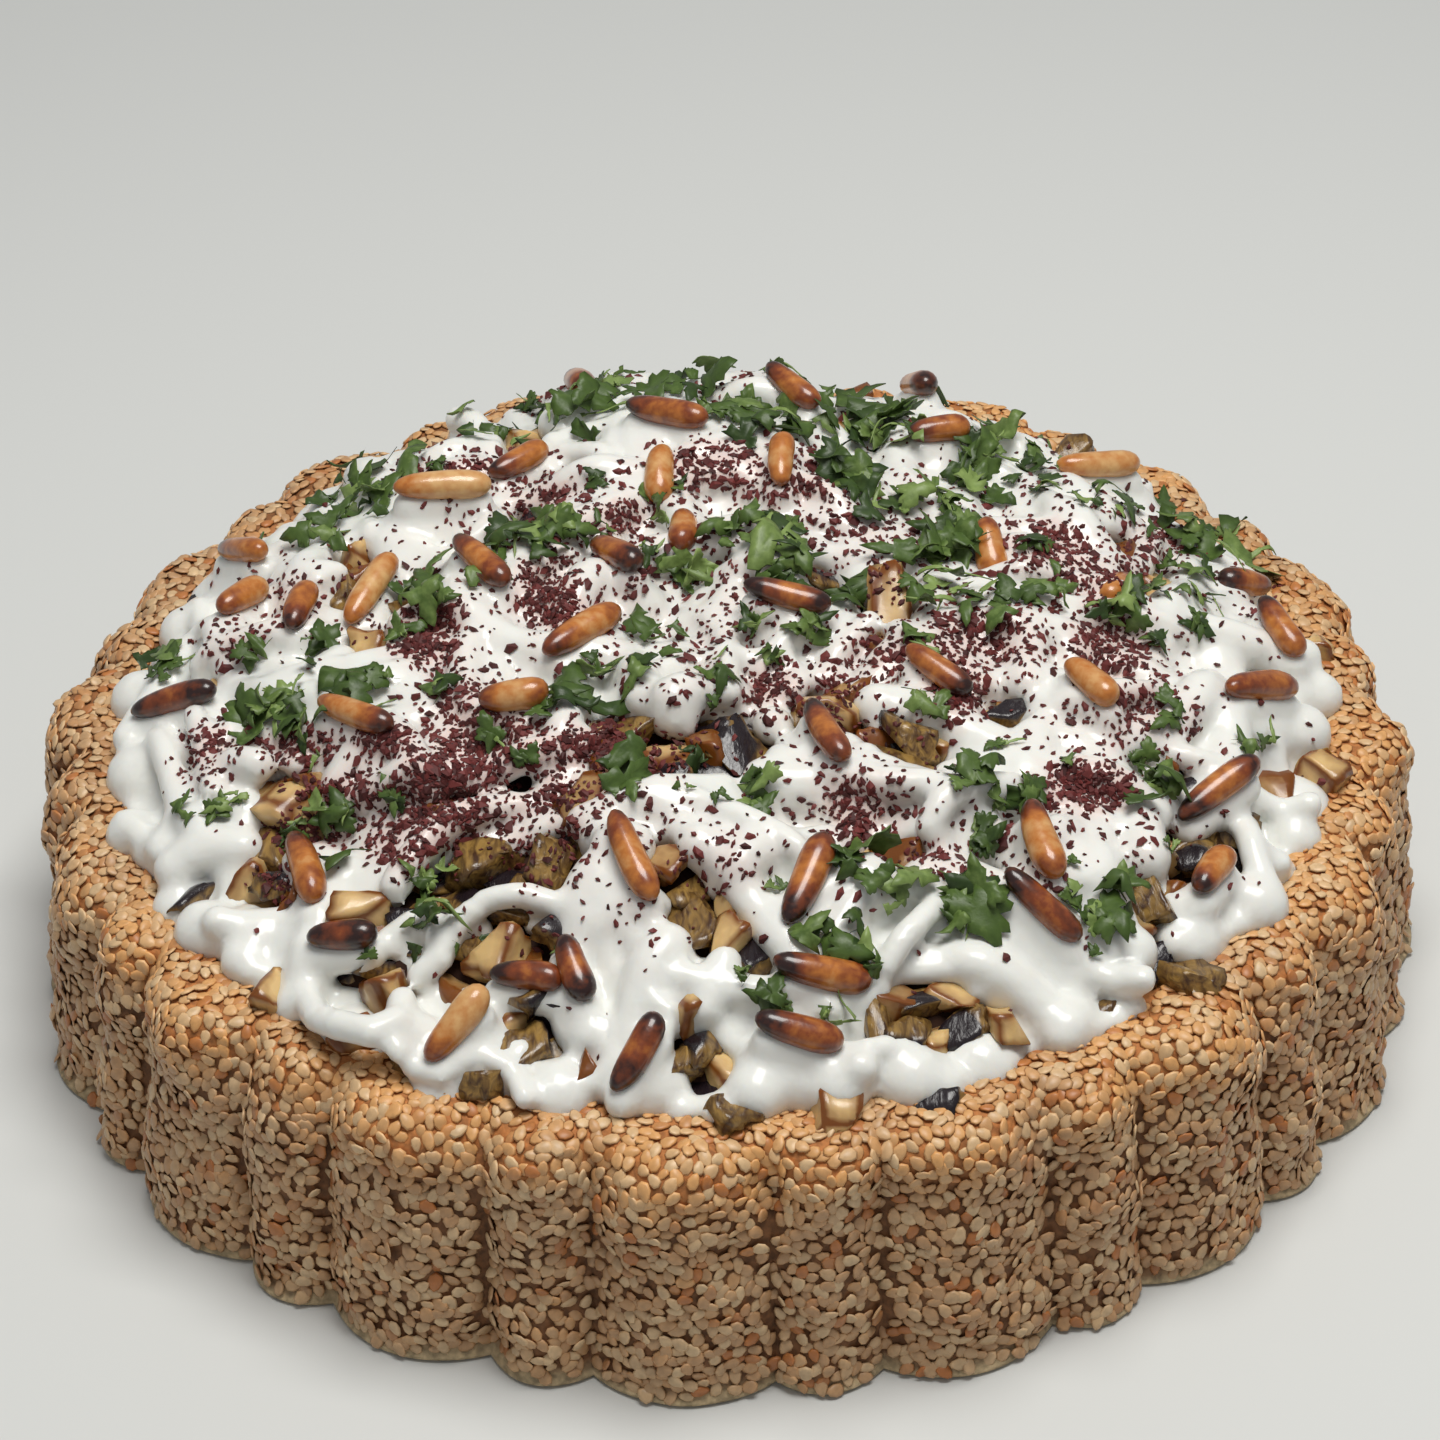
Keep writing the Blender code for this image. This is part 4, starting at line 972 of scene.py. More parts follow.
def strained_yogurt(look):
    """Thick strained yogurt, spooned on: dense, wet and smooth, with light that spreads inside."""
    finish, tree = new_finish("strained yogurt")
    place = add_node(tree, "ShaderNodeTexCoord").outputs["Object"]
    stain = add_node(tree, "ShaderNodeAttribute", attribute_name="stain").outputs["Fac"]
    colour = add_node(tree, "ShaderNodeMix", {6: look.yogurt_colour, 7: look.stain_colour},
                      {0: stain}, data_type="RGBA").outputs[2]
    # Faint ripples about 4 mm apart break up the gloss, as the spoon left them
    ripples = add_node(tree, "ShaderNodeTexNoise", {"Scale": 1.0 / (4.0 * MM), "Detail": 2.0},
                       {"Vector": place}).outputs["Fac"]
    bump = add_node(tree, "ShaderNodeBump", {"Strength": 0.25, "Distance": 0.5 * MM},
                    {"Height": ripples}).outputs["Normal"]
    shader = add_node(tree, "ShaderNodeBsdfPrincipled",
                      {"Roughness": 0.28, "IOR": 1.4,
                       "Subsurface Weight": 0.35, "Subsurface Radius": (1.0, 0.8, 0.6),
                       "Subsurface Scale": 1.6 * MM, "Coat Weight": 0.25, "Coat Roughness": 0.08},
                      {"Base Color": colour, "Normal": bump})
    add_node(tree, "ShaderNodeOutputMaterial", links={"Surface": shader.outputs["BSDF"]})
    return finish


def oiled_pine_nut(look):
    """Pine nuts fried in butter: waxy and glossy, from cream to almost black."""
    finish, tree = new_finish("oiled pine nut")
    place = add_node(tree, "ShaderNodeTexCoord").outputs["Object"]
    toast = add_node(tree, "ShaderNodeAttribute", attribute_name="toast").outputs["Fac"]
    # Toasting is uneven over about 2 mm
    patch = add_node(tree, "ShaderNodeTexNoise", {"Scale": 1.0 / (2.2 * MM), "Detail": 3.0},
                     {"Vector": place}).outputs["Fac"]
    uneven = add_node(tree, "ShaderNodeMapRange", {"From Min": 0.3, "From Max": 0.7,
                      "To Min": -0.16, "To Max": 0.16}, {"Value": patch}).outputs["Result"]
    level = add_node(tree, "ShaderNodeMath", links={0: toast, 1: uneven},
                     operation="ADD").outputs[0]
    stops = ((0.05, look.pale_nut), (0.42, look.golden_nut), (0.7, look.brown_nut),
             (1.0, look.dark_nut))
    colour = add_node(tree, "ShaderNodeValToRGB", links={0: level}, stops=stops).outputs["Color"]
    bump = add_node(tree, "ShaderNodeBump", {"Strength": 0.3, "Distance": 0.3 * MM},
                    {"Height": patch}).outputs["Normal"]
    shader = add_node(tree, "ShaderNodeBsdfPrincipled",
                      {"Roughness": 0.3, "IOR": 1.47, "Coat Weight": 0.4, "Coat Roughness": 0.1},
                      {"Base Color": colour, "Normal": bump})
    add_node(tree, "ShaderNodeOutputMaterial", links={"Surface": shader.outputs["BSDF"]})
    return finish


def fresh_parsley(look):
    """Flat parsley, chopped by hand: matt green blades with a soft sheen and paler stems."""
    finish, tree = new_finish("fresh parsley")
    place = add_node(tree, "ShaderNodeTexCoord").outputs["Object"]
    tone = add_node(tree, "ShaderNodeAttribute", attribute_name="tone").outputs["Fac"]
    # Veins and cell patches show at about 1.5 mm
    veins = add_node(tree, "ShaderNodeTexNoise", {"Scale": 1.0 / (1.6 * MM), "Detail": 3.0},
                     {"Vector": place}).outputs["Fac"]
    shift = add_node(tree, "ShaderNodeMapRange", {"From Min": 0.3, "From Max": 0.7,
                     "To Min": -0.14, "To Max": 0.14}, {"Value": veins}).outputs["Result"]
    level = add_node(tree, "ShaderNodeMath", links={0: tone, 1: shift}, operation="ADD").outputs[0]
    stops = ((0.0, look.dark_leaf), (0.55, look.leaf_colour), (1.0, look.pale_leaf))
    colour = add_node(tree, "ShaderNodeValToRGB", links={0: level}, stops=stops).outputs["Color"]
    bump = add_node(tree, "ShaderNodeBump", {"Strength": 0.4, "Distance": 0.3 * MM},
                    {"Height": veins}).outputs["Normal"]
    shader = add_node(tree, "ShaderNodeBsdfPrincipled", {"Roughness": 0.42, "IOR": 1.42},
                      {"Base Color": colour, "Normal": bump})
    add_node(tree, "ShaderNodeOutputMaterial", links={"Surface": shader.outputs["BSDF"]})
    return finish


def ground_sumac(look):
    """Dried sumac berries, coarsely ground: matt maroon flakes, some redder and some darker."""
    finish, tree = new_finish("ground sumac")
    tone = add_node(tree, "ShaderNodeAttribute", attribute_name="tone").outputs["Fac"]
    bright = add_node(tree, "ShaderNodeMapRange", {"To Min": 0.45, "To Max": 1.6},
                      {"Value": tone}).outputs["Result"]
    colour = add_node(tree, "ShaderNodeVectorMath", {0: look.sumac_colour[:3]}, {1: bright},
                      operation="MULTIPLY").outputs["Vector"]
    shader = add_node(tree, "ShaderNodeBsdfPrincipled", {"Roughness": 0.65, "IOR": 1.45},
                      {"Base Color": colour})
    add_node(tree, "ShaderNodeOutputMaterial", links={"Surface": shader.outputs["BSDF"]})
    return finish


def mesh_arrays(item):
    """The points, triangles and point normals of an object, from the middle of the tart."""
    mesh = item.data
    points = np.empty(len(mesh.vertices) * 3, dtype=np.float32)
    mesh.vertices.foreach_get("co", points)
    normals = np.empty(len(mesh.vertices) * 3, dtype=np.float32)
    mesh.vertex_normals.foreach_get("vector", normals)
    mesh.calc_loop_triangles()
    corners = np.empty(len(mesh.loop_triangles) * 3, dtype=np.int32)
    mesh.loop_triangles.foreach_get("vertices", corners)
    points = points.reshape(-1, 3).astype(float) - np.array(MIDDLE)
    return points, corners.reshape(-1, 3), normals.reshape(-1, 3).astype(float)


def surface_of(*names):
    """A search tree of finished pieces, from the middle of the tart."""
    points = []
    corners = []
    for name in names:
        own_points, own_corners, _ = mesh_arrays(bpy.data.objects[name])
        corners.extend((own_corners + len(points)).tolist())
        points.extend(own_points.tolist())
    return BVHTree.FromPolygons(points, corners)


def rib_inset(angles):
    """How far the ribs draw the shell in at each angle: 0 on the crests and most on the creases."""
    offset = (angles - FIRST_WIDE_RIB + PAIR_ANGLE / 2.0) % PAIR_ANGLE - PAIR_ANGLE / 2.0
    wide = RIB_DEPTH * (offset / WIDE_RIB_HALF_ANGLE) ** 2
    narrow_half = PAIR_ANGLE / 2.0 - WIDE_RIB_HALF_ANGLE
    across = (PAIR_ANGLE / 2.0 - np.abs(offset)) / narrow_half
    narrow = RIB_DEPTH * (1.0 - NARROW_RIB_SHARE * (1.0 - across ** 2))
    return np.where(np.abs(offset) <= WIDE_RIB_HALF_ANGLE, wide, narrow)


def rib_angles():
    """The angles of the shell's points all round, with one on each crease between two ribs."""
    half = WIDE_RIB_HALF_ANGLE
    wide = np.linspace(-half, half, WIDE_RIB_PARTS, endpoint=False)
    narrow = np.linspace(half, PAIR_ANGLE - half, NARROW_RIB_PARTS, endpoint=False)
    pair = np.concatenate((wide, narrow)) + FIRST_WIDE_RIB
    return (pair[None, :] + PAIR_ANGLE * np.arange(RIB_PAIRS)[:, None]).ravel()


def shell_profile():
    """The shell's section, as radius and height, from the recess over the rim to the base."""
    profile = [(RECESS_RADIUS - RECESS_TUCK, RECESS_FLOOR)]
    for share in np.linspace(0.0, 1.0, RIM_RINGS):
        profile.append((RECESS_RADIUS + (RIM_CREST_RADIUS - RECESS_RADIUS) * share,
                        RECESS_EDGE_HEIGHT + (RIM_HEIGHT - RECESS_EDGE_HEIGHT) * share))
    profile.append((RIM_CREST_RADIUS + CREST_FLAT, RIM_HEIGHT))
    for angle in np.linspace(SHOULDER_START, 0.0, SHOULDER_RINGS):
        profile.append((TOP_RADIUS - SHOULDER_RADIUS * (1.0 - math.cos(angle)),
                        RIM_HEIGHT - SHOULDER_RADIUS * (1.0 - math.sin(angle))))
    wall_top = RIM_HEIGHT - SHOULDER_RADIUS
    for share in np.linspace(0.0, 1.0, WALL_RINGS)[1:]:
        profile.append((TOP_RADIUS + (BASE_RADIUS - LIP_REACH - TOP_RADIUS) * share,
                        wall_top + (2.0 * FOOT_HEIGHT - wall_top) * share))
    profile += [(BASE_RADIUS, FOOT_HEIGHT), (BASE_RADIUS + LIP_BULGE, 0.5 * FOOT_HEIGHT),
                (BASE_RADIUS - LIP_UNDERCUT, 0.0)]
    return np.array(profile)


def facing_of(points, faces):
    """The normals of points on a mesh of quads and triangles."""
    first = points[faces[:, 1]] - points[faces[:, 0]]
    second = points[faces[:, 2]] - points[faces[:, 0]]
    across = np.cross(first, second)
    normals = np.zeros_like(points)
    for k in range(faces.shape[1]):
        np.add.at(normals, faces[:, k], across)
    return normals / np.maximum(np.linalg.norm(normals, axis=1, keepdims=True), 1e-12)


def bake_shell(look):
    """The falafel shell: a ribbed turned form with an uneven, crumbly surface."""
    angles = rib_angles()
    profile = shell_profile()
    count, rings = len(angles), len(profile)
    grip = np.clip((profile[:, 0] - RIM_CREST_RADIUS) / (TOP_RADIUS - RIM_CREST_RADIUS), 0.0, 1.0)
    radius = np.repeat(profile[:, 0], count)
    height = np.repeat(profile[:, 1], count)
    hold = np.repeat(grip, count)
    turn = np.tile(angles, rings)
    spots = np.stack((np.cos(turn) * radius, np.sin(turn) * radius, height), axis=1)
    radius += (noise_of(spots, SHELL_WOBBLE_SPAN) * SHELL_WOBBLE - rib_inset(turn)) * hold
    sway = noise_of(spots, SHELL_WOBBLE_SPAN, SWAY_SHIFT) * SHELL_WOBBLE
    height += sway * np.minimum(height / RIM_HEIGHT, 1.0) * hold
    height -= CREASE_DIP * rib_inset(turn) * hold * smooth_step(*CREASE_DIP_HEIGHTS, height)
    points = np.stack((np.cos(turn) * radius, np.sin(turn) * radius, height), axis=1)

    around = np.arange(count)
    after = (around + 1) % count
    ring = np.arange(rings - 1)[:, None] * count
    faces = np.stack((ring + around, ring + count + around, ring + count + after, ring + after),
                     axis=2).reshape(-1, 4)
    # Crumbs stand out of the surface everywhere but on the flat base
    relief = noise_of(points, CRUMB_SPAN) * look.crumb + noise_of(points, CLOD_SPAN) * look.clod
    loose = np.clip(points[:, 2] / CALM_FOOT, 0.0, 1.0) * hold
    points += facing_of(points, faces) * (relief * loose)[:, None]

    last = (rings - 1) * count
    points = np.vstack((points, (0.0, 0.0, RECESS_FLOOR), (0.0, 0.0, 0.0)))
    top, bottom = len(points) - 2, len(points) - 1
    caps = [(top, k, (k + 1) % count) for k in range(count)]
    caps += [(bottom, last + (k + 1) % count, last + k) for k in range(count)]
    # Toast: browner up the rim from toasting, darker down the wall partly as painted shade, and
    # darker at the back left as painted shade
    toast = smooth_step(*SHELL_TOAST_AND_SHADE_HEIGHTS, points[:, 2]) * painted_side_light(points)
    foot = 1.0 - smooth_step(*FOOT_HEIGHTS, points[:, 2] + relief_at(points) * MM)
    body = mesh_piece("falafel_body", points, [*faces.tolist(), *caps], baked_falafel(look),
                      toast=toast, foot=foot)
    put_in_frame(body, "sesame_crust", "falafel_shell")


def relief_at(points):
    """Slow unevenness from about -0.7 to 0.7, for edges that wander."""
    return noise_of(points, WANDER_SPAN, WANDER_SHIFT)


def painted_side_light(points):
    """Painted shade by side: 1 in front and on the right, less at the back left, where the rim is
    darkened.
    """
    toward = (points[:, :2] @ SHADED_SIDE) / np.maximum(np.hypot(points[:, 0], points[:, 1]), MM)
    return 1.0 - SIDE_SHADE_DEPTH * smooth_step(*SIDE_SHADE_SPREAD, toward)


def seed_shape():
    """A flat drop of length, width and thickness 1, and how near each point is to its edge."""
    turn = np.linspace(0.0, math.tau, SEED_SIDES, endpoint=False)
    taper = 1.0 - SEED_TAPER * np.cos(turn)
    rim = np.stack((0.5 * np.cos(turn), 0.5 * np.sin(turn) * taper, np.zeros(SEED_SIDES)), axis=1)
    ring = rim * SEED_SHOULDER + (0.0, 0.0, SEED_SHOULDER_HEIGHT)
    points = np.vstack(((0.0, 0.0, SEED_CROWN), ring, rim, (0.0, 0.0, SEED_KEEL)))
    faces = []
    for k in range(SEED_SIDES):
        inner, inner_next = 1 + k, 1 + (k + 1) % SEED_SIDES
        outer, outer_next = inner + SEED_SIDES, inner_next + SEED_SIDES
        faces += [(0, inner, inner_next), (inner, outer, outer_next),
                  (inner, outer_next, inner_next), (2 * SEED_SIDES + 1, outer_next, outer)]
    shoulder = np.full(SEED_SIDES, SEED_SHOULDER_EDGE)
    return points, np.array(faces), np.concatenate(([0.0], shoulder, np.ones(SEED_SIDES + 1)))


def sow_sesame(look):
    """The sesame coat: flat drops pressed on the wall and rim at all angles, sparse at the foot."""
    points, corners, normals = mesh_arrays(bpy.data.objects["falafel_body"])
    draw = np.random.default_rng(SEED_DRAW)
    first, second, third = (points[corners[:, k]] for k in range(3))
    area = np.linalg.norm(np.cross(second - first, third - first), axis=1)
    centre = (first + second + third) / 3.0
    area *= np.hypot(centre[:, 0], centre[:, 1]) > SEED_INNER_RADIUS
    area *= centre[:, 2] > FOOT_HEIGHT
    chosen = corners[draw.choice(len(corners), SEED_TRIES, p=area / area.sum())]
    cuts = np.sort(draw.random((SEED_TRIES, 2)), axis=1)
    shares = np.stack((cuts[:, 0], cuts[:, 1] - cuts[:, 0], 1.0 - cuts[:, 1]), axis=1)[:, :, None]
    places = (points[chosen] * shares).sum(axis=1)
    facing = (normals[chosen] * shares).sum(axis=1)
    # The coat is ragged along the foot, where the tin kept seeds off
    ragged = places[:, 2] + relief_at(places) * COAT_RAGGEDNESS
    chance = FOOT_CHANCE + (1.0 - FOOT_CHANCE) * smooth_step(*COAT_START, ragged)
    # Fewer seeds stick deep in the creases between ribs
    inset = rib_inset(np.arctan2(places[:, 1], places[:, 0])) / RIB_DEPTH
    on_wall = 1.0 - smooth_step(*CREASE_END_HEIGHTS, places[:, 2])
    chance *= 1.0 - CREASE_BARENESS * smooth_step(*CREASE_BARE_INSET, inset) * on_wall
    kept = draw.random(SEED_TRIES) < chance
    places, facing = places[kept], facing[kept]
    chosen = spaced(places, look.seed_spacing)
    places, facing = places[chosen], facing[chosen]

    count = len(places)
    tilted = facing + draw.normal(0.0, SEED_TILT, (count, 3))
    length = look.seed_length * draw.normal(1.0, SEED_LENGTH_SPREAD, count)
    width = length * draw.normal(SEED_WIDTH, SEED_WIDTH_SPREAD, count)
    sizes = np.stack((length, width, length * SEED_THICKNESS), axis=1)
    frames = resting_frames(tilted, draw.random(count) * math.tau, sizes)
    places = places + facing * (draw.random(count) * SEED_LIFT)[:, None]
    # No seed reaches under the base
    places[:, 2] = np.maximum(places[:, 2], 0.5 * np.abs(frames[:, 2]).sum(axis=1))
    # Toast rises up the rim from toasting; the wall stays darker partly as painted shade
    height = places[:, 2] + relief_at(places) * SEED_TOAST_WANDER
    patch = noise_of(places, PATCH_SPAN, PATCH_SHIFT)
    toast = smooth_step(*SEED_TOAST_AND_SHADE_HEIGHTS, height) * (SEED_TOAST + PATCH_ON_RIM * patch)
    # Painted shade: the side term darkens the back left of the rim
    toast = toast * painted_side_light(places) + PATCH_ALL_OVER * patch
    toast = np.clip(toast + draw.normal(0.0, SEED_TOAST_SPREAD, count), 0.0, 1.0)
    tone = draw.random(count)

    shape, faces, edge = seed_shape()
    finish = toasted_sesame(look)
    for name, low, high in SEED_ZONES:
        zone = (places[:, 2] >= low) & (places[:, 2] < high)
        spread, triangles = copies(shape, faces, frames[zone], places[zone])
        seeds = mesh_piece(name, spread, triangles, finish, edge=np.tile(edge, zone.sum()),
                           toast=np.repeat(toast[zone], len(shape)),
                           tone=np.repeat(tone[zone], len(shape)))
        put_in_frame(seeds, "sesame_crust")


def heap_core(look):
    """The heap under the sauce: a dome of dark roast crumble with a flat foot."""
    rings, count = CORE_RINGS, CORE_SIDES
    radius = np.repeat(np.linspace(CORE_START, 1.0, rings) * HEAP_RADIUS, count)
    turn = np.tile(np.linspace(0.0, math.tau, count, endpoint=False), rings)
    x, y = np.cos(turn) * radius, np.sin(turn) * radius
    flat = np.stack((x, y, np.zeros_like(x)), axis=1)
    height = np.array([heap_height(a, b) for a, b in zip(x, y)])
    height += noise_of(flat, CORE_LUMP_SPAN) * CORE_LUMP - CORE_SINK
    points = np.vstack((np.stack((x, y, height), axis=1),
                        [(0.0, 0.0, heap_height(0.0, 0.0)), (0.0, 0.0, HEAP_FOOT_HEIGHT)]))
    edge = np.stack((x[-count:], y[-count:], np.full(count, HEAP_FOOT_HEIGHT)), axis=1)
    points = np.vstack((points, edge))
    faces = []
    top, bottom, foot = rings * count, rings * count + 1, rings * count + 2
    last = (rings - 1) * count
    for k in range(count):
        after = (k + 1) % count
        for inner in range(0, last, count):
            outer = inner + count
            faces.append((inner + k, outer + k, outer + after, inner + after))
        faces += [(top, k, after), (last + k, foot + k, foot + after, last + after),
                  (bottom, foot + after, foot + k)]
    core = mesh_piece("roast_crumble_core", points, faces, roast_crumble(look))
    put_in_frame(core, "roasted_vegetables", "vegetable_filling")


def cube_shape():
    """A soft-edged cube of width 1: its points, its faces, and how near an edge each point is."""
    block = bmesh.new()
    bmesh.ops.create_cube(block, size=2.0)
    bmesh.ops.subdivide_edges(block, edges=block.edges[:], cuts=CUBE_CUTS, use_grid_fill=True)
    block.verts.index_update()
    points = np.array([v.co[:] for v in block.verts])
    faces = np.array([[v.index for v in face.verts] for face in block.faces])
    block.free()
    away = points / np.linalg.norm(points, axis=1, keepdims=True)
    reach = (np.abs(away) ** CUBE_POWER).sum(axis=1) ** (-1.0 / CUBE_POWER)
    edge = smooth_step(*CUBE_EDGE, np.sort(np.abs(points), axis=1)[:, 1])
    return away * reach[:, None] * 0.5, faces, edge


def has_room(rows, x, y, width, closeness):
    """Whether a cube of a width at a plan place keeps clear of those laid before it."""
    return all(math.hypot(x - middle.x, y - middle.y) > closeness * (width + other)
               for middle, other, _ in rows)


def cube_rows(look):
    """Where the roast cubes lie: middle, width and kind, first those that show best."""
    rows = []
    for px, py, wide, kind in CUBES:
        stand = look.stand + PROUD.get(kind, 0.0)
        top = seen_at(px, py, lambda x, y: heap_height(x, y) + stand)
        width = max(wide * pixel_size(top), CUBE_LEAST)
        rows.append((top - Vector((0.0, 0.0, CUBE_SEEN_SINK * width)), width, kind))
    draw = random.Random(CUBE_DRAW)
    plan = opening_plan()
    for ox, oy, across, deep in plan:
        for _ in range(CUBE_TRIES):
            x = ox + draw.uniform(-CUBE_OVERREACH, CUBE_OVERREACH) * across
            y = oy + draw.uniform(-CUBE_OVERREACH, CUBE_OVERREACH) * deep
            width = draw.uniform(*CUBE_WIDTHS) * MM
            rise = draw.uniform(*CUBE_RISES) * MM
            on_heap = math.hypot(x, y) < HEAP_RADIUS - CUBE_EDGE_CLEAR
            if on_heap and has_room(rows, x, y, width, CUBE_CLOSENESS):
                rows.append((Vector((x, y, heap_height(x, y) + rise - CUBE_SINK * width)), width,
                             draw.choice(CUBE_MIX)))
    # More cubes lie where the sheet of sauce tears
    gaps = np.array([(draw.uniform(-1.0, 1.0), draw.uniform(-1.0, 1.0)) for _ in range(GAP_TRIES)])
    gaps *= HEAP_RADIUS - RIM_BAND
    gaps = gaps[torn(bpy.context.scene.tart_sauce, gaps, sauce_reach(gaps, plan))]
    for x, y in gaps:
        width = draw.uniform(*GAP_CUBE_WIDTHS) * MM
        rise = draw.uniform(*GAP_CUBE_RISES) * MM
        if has_room(rows, x, y, width, GAP_CUBE_CLOSENESS):
            rows.append((Vector((x, y, heap_height(x, y) + rise - CUBE_SINK * width)), width,
                         draw.choice(GAP_CUBE_MIX)))
    return rows


def lay_cubes(look):
    """The roast cubes: potato browned at its edges, and aubergine with flesh or skin on top."""
    shape, faces, edge = cube_shape()
    draw = np.random.default_rng(CUBE_DRAW)
    potatoes, aubergines = [], []
    for number, (middle, width, kind) in enumerate(cube_rows(look)):
        sizes = width * draw.uniform(*CUBE_STRETCH, 3) * CUBE_SIZES[kind]
        up = np.array([(0.0, 0.0, 1.0)]) + draw.normal(0.0, CUBE_TILT, (1, 3))
        turn = draw.random(1) * math.tau
        if kind == SLAB_KIND:
            up, turn = np.array([SLAB_FACING]), np.zeros(1)
        turned = resting_frames(up, turn, sizes[None])[0]
        lumps = noise_of(shape + number * CUBE_LUMP_SHIFT, CUBE_LUMP_SPAN) * CUBE_LUMP
        lumps += noise_of(shape + number, CUBE_DENT_SPAN) * CUBE_DENT
        lumps *= 1.0 if kind in POTATO_KINDS else AUBERGINE_SOFTNESS
        own = shape * (1.0 + lumps[:, None])
        # A knife took a slice off some corners
        for _ in range(CUBE_CHOPS):
            cut = draw.normal(0.0, 1.0, 3)
            cut /= np.linalg.norm(cut)
            over = np.maximum(own @ cut - draw.uniform(*CHOP_REACHES), 0.0)
            own = own - over[:, None] * cut
        points = own @ turned.T + np.array(middle)
        # Skin is on top where it shows, on one side of every other piece of flesh, or nowhere
        side = number % 2
        bare = shape[:, 2] if kind == "s" else shape[:, 0] * side - (1 - side)
        skin = smooth_step(*SKIN_START, bare)
        tone = np.full(len(shape), draw.random())
        cubes = potatoes if kind in POTATO_KINDS else aubergines
        cubes.append((points, edge, skin, tone))
    for name, finish, cubes in (("roast_potato_cubes", roast_potato, potatoes),
                                ("roast_aubergine_cubes", roast_aubergine, aubergines)):
        points, edges, skins, tones = (np.concatenate(column) for column in zip(*cubes))
        item = mesh_piece(name, points, repeated(faces, len(cubes), len(shape)), finish(look),
                          edge=edges, skin=skins, tone=tones)
        put_in_frame(item, "roasted_vegetables")


def nut_rows():
    """Each pine nut: middle, direction to its pointed end, length and width, from its node."""
    rows = []
    for name in NUT_NODES:
        points = mesh_arrays(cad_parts[name])[0]
        mean = points.mean(axis=0)
        axis = np.linalg.svd(points - mean, full_matrices=False)[2][0]
        along = (points - mean) @ axis
        away = np.linalg.norm((points - mean) - along[:, None] * axis, axis=1)
        far, near = along > NUT_END_SHARE * along.max(), along < NUT_END_SHARE * along.min()
        if away[far].max() > away[near].max():
            axis, along = -axis, -along
        middle = mean + axis * (along.min() + along.max()) / 2.0
        rows.append((middle, axis, along.max() - along.min(), 2.0 * away.max()))
    return rows


def strand_rows(look, plan):
    """The ribbons of sauce: places along each one, with the radius and rise at each place."""
    draw = random.Random(STRAND_DRAW)
    rows = []
    for _ in range(look.strand_count):
        turn, away = draw.uniform(0.0, math.tau), math.sqrt(draw.random()) * STRAND_FIELD * MM
        x, y = away * math.cos(turn), away * math.sin(turn)
        heading, bend = draw.uniform(0.0, math.tau), draw.uniform(*STRAND_BENDS)
        radius = look.strand_radius * draw.uniform(*STRAND_RADII)
        rise = draw.uniform(*STRAND_RISES) * MM
        steps = draw.randint(*STRAND_STEPS)
        for step in range(steps):
            swell = math.sin(math.pi * (step + 0.5) / steps) ** STRAND_BLUNTNESS
            rows.append((x, y, radius * (STRAND_TIP + (1.0 - STRAND_TIP) * swell),
                         rise - (1.0 - swell) * SHEET_DROP))
            x += math.cos(heading) * STRAND_STEP
            y += math.sin(heading) * STRAND_STEP
            heading += bend + draw.uniform(*STRAND_WANDER)
    rows = np.array(rows)
    rows = rows[sauce_reach(rows[:, :2], plan) > STRAND_CLEAR * rows[:, 2]].tolist()
    for pixels, wide, rise in SWIRLS:
        places = [seen_at(px, py) for px, py in pixels]
        radius = wide / 2.0 * pixel_size(places[0])
        for a, b in zip(places, places[1:]):
            steps = max(int((b - a).xy.length / STRAND_STEP), 1)
            for step in range(steps):
                spot = a.lerp(b, step / steps)
                rows.append((spot.x, spot.y, radius, rise * MM))
        rows.append((places[-1].x, places[-1].y, radius, rise * MM))
    return np.array(rows)


def bead_rows():
    """The rounded beads along the sauce's edge: plan place, radius and rise."""
    draw = random.Random(BEAD_DRAW)
    rows = []
    turn = 0.0
    while turn < BEAD_END:
        radius = draw.uniform(*BEAD_RADII) * MM
        edge = sauce_edge(turn)
        away = edge - radius + draw.uniform(*BEAD_REACHES) * MM
        rows.append((math.cos(turn) * away, math.sin(turn) * away, radius,
                     draw.uniform(*BEAD_RISES) * MM - BACK_SINK * at_back(turn)))
        turn += 2.0 * radius * draw.uniform(*BEAD_SPACINGS) / edge
    return np.array(rows)


def torn(look, places, reach):
    """Whether the thin sheet tears at each place, which leaves small gaps between the ribbons."""
    flat = np.column_stack((places, np.zeros(len(places))))
    return (noise_of(flat, TEAR_SPAN, TEAR_SHIFT) > look.sheet_hold) & (reach > RIM_BAND)


def beside_nut(points, middle, axis, length):
    """A nut's ends, the place on it nearest to each point, and how far that is in plan."""
    ends = middle[None] + axis[None] * np.array([[-0.5], [0.5]]) * length
    along = np.clip(((points - ends[0]) @ axis) / length, 0.0, 1.0)[:, None]
    nearest = ends[0] + (ends[1] - ends[0]) * along
    return ends, nearest, np.hypot(*(points - nearest)[:, :2].T)


def without_islands(points, faces):
    """The points and triangles that hang together in bodies of more than a few points."""
    label = np.arange(len(points))
    while True:
        least = label[faces].min(axis=1)
        joined = label.copy()
        for k in range(3):
            np.minimum.at(joined, faces[:, k], least)
        joined = joined[joined]
        if np.array_equal(joined, label):
            break
        label = joined
    kept = np.bincount(label, minlength=len(points))[label] > ISLAND_POINTS
    number = np.cumsum(kept) - 1
    return points[kept], number[faces[kept[faces[:, 0]]]]


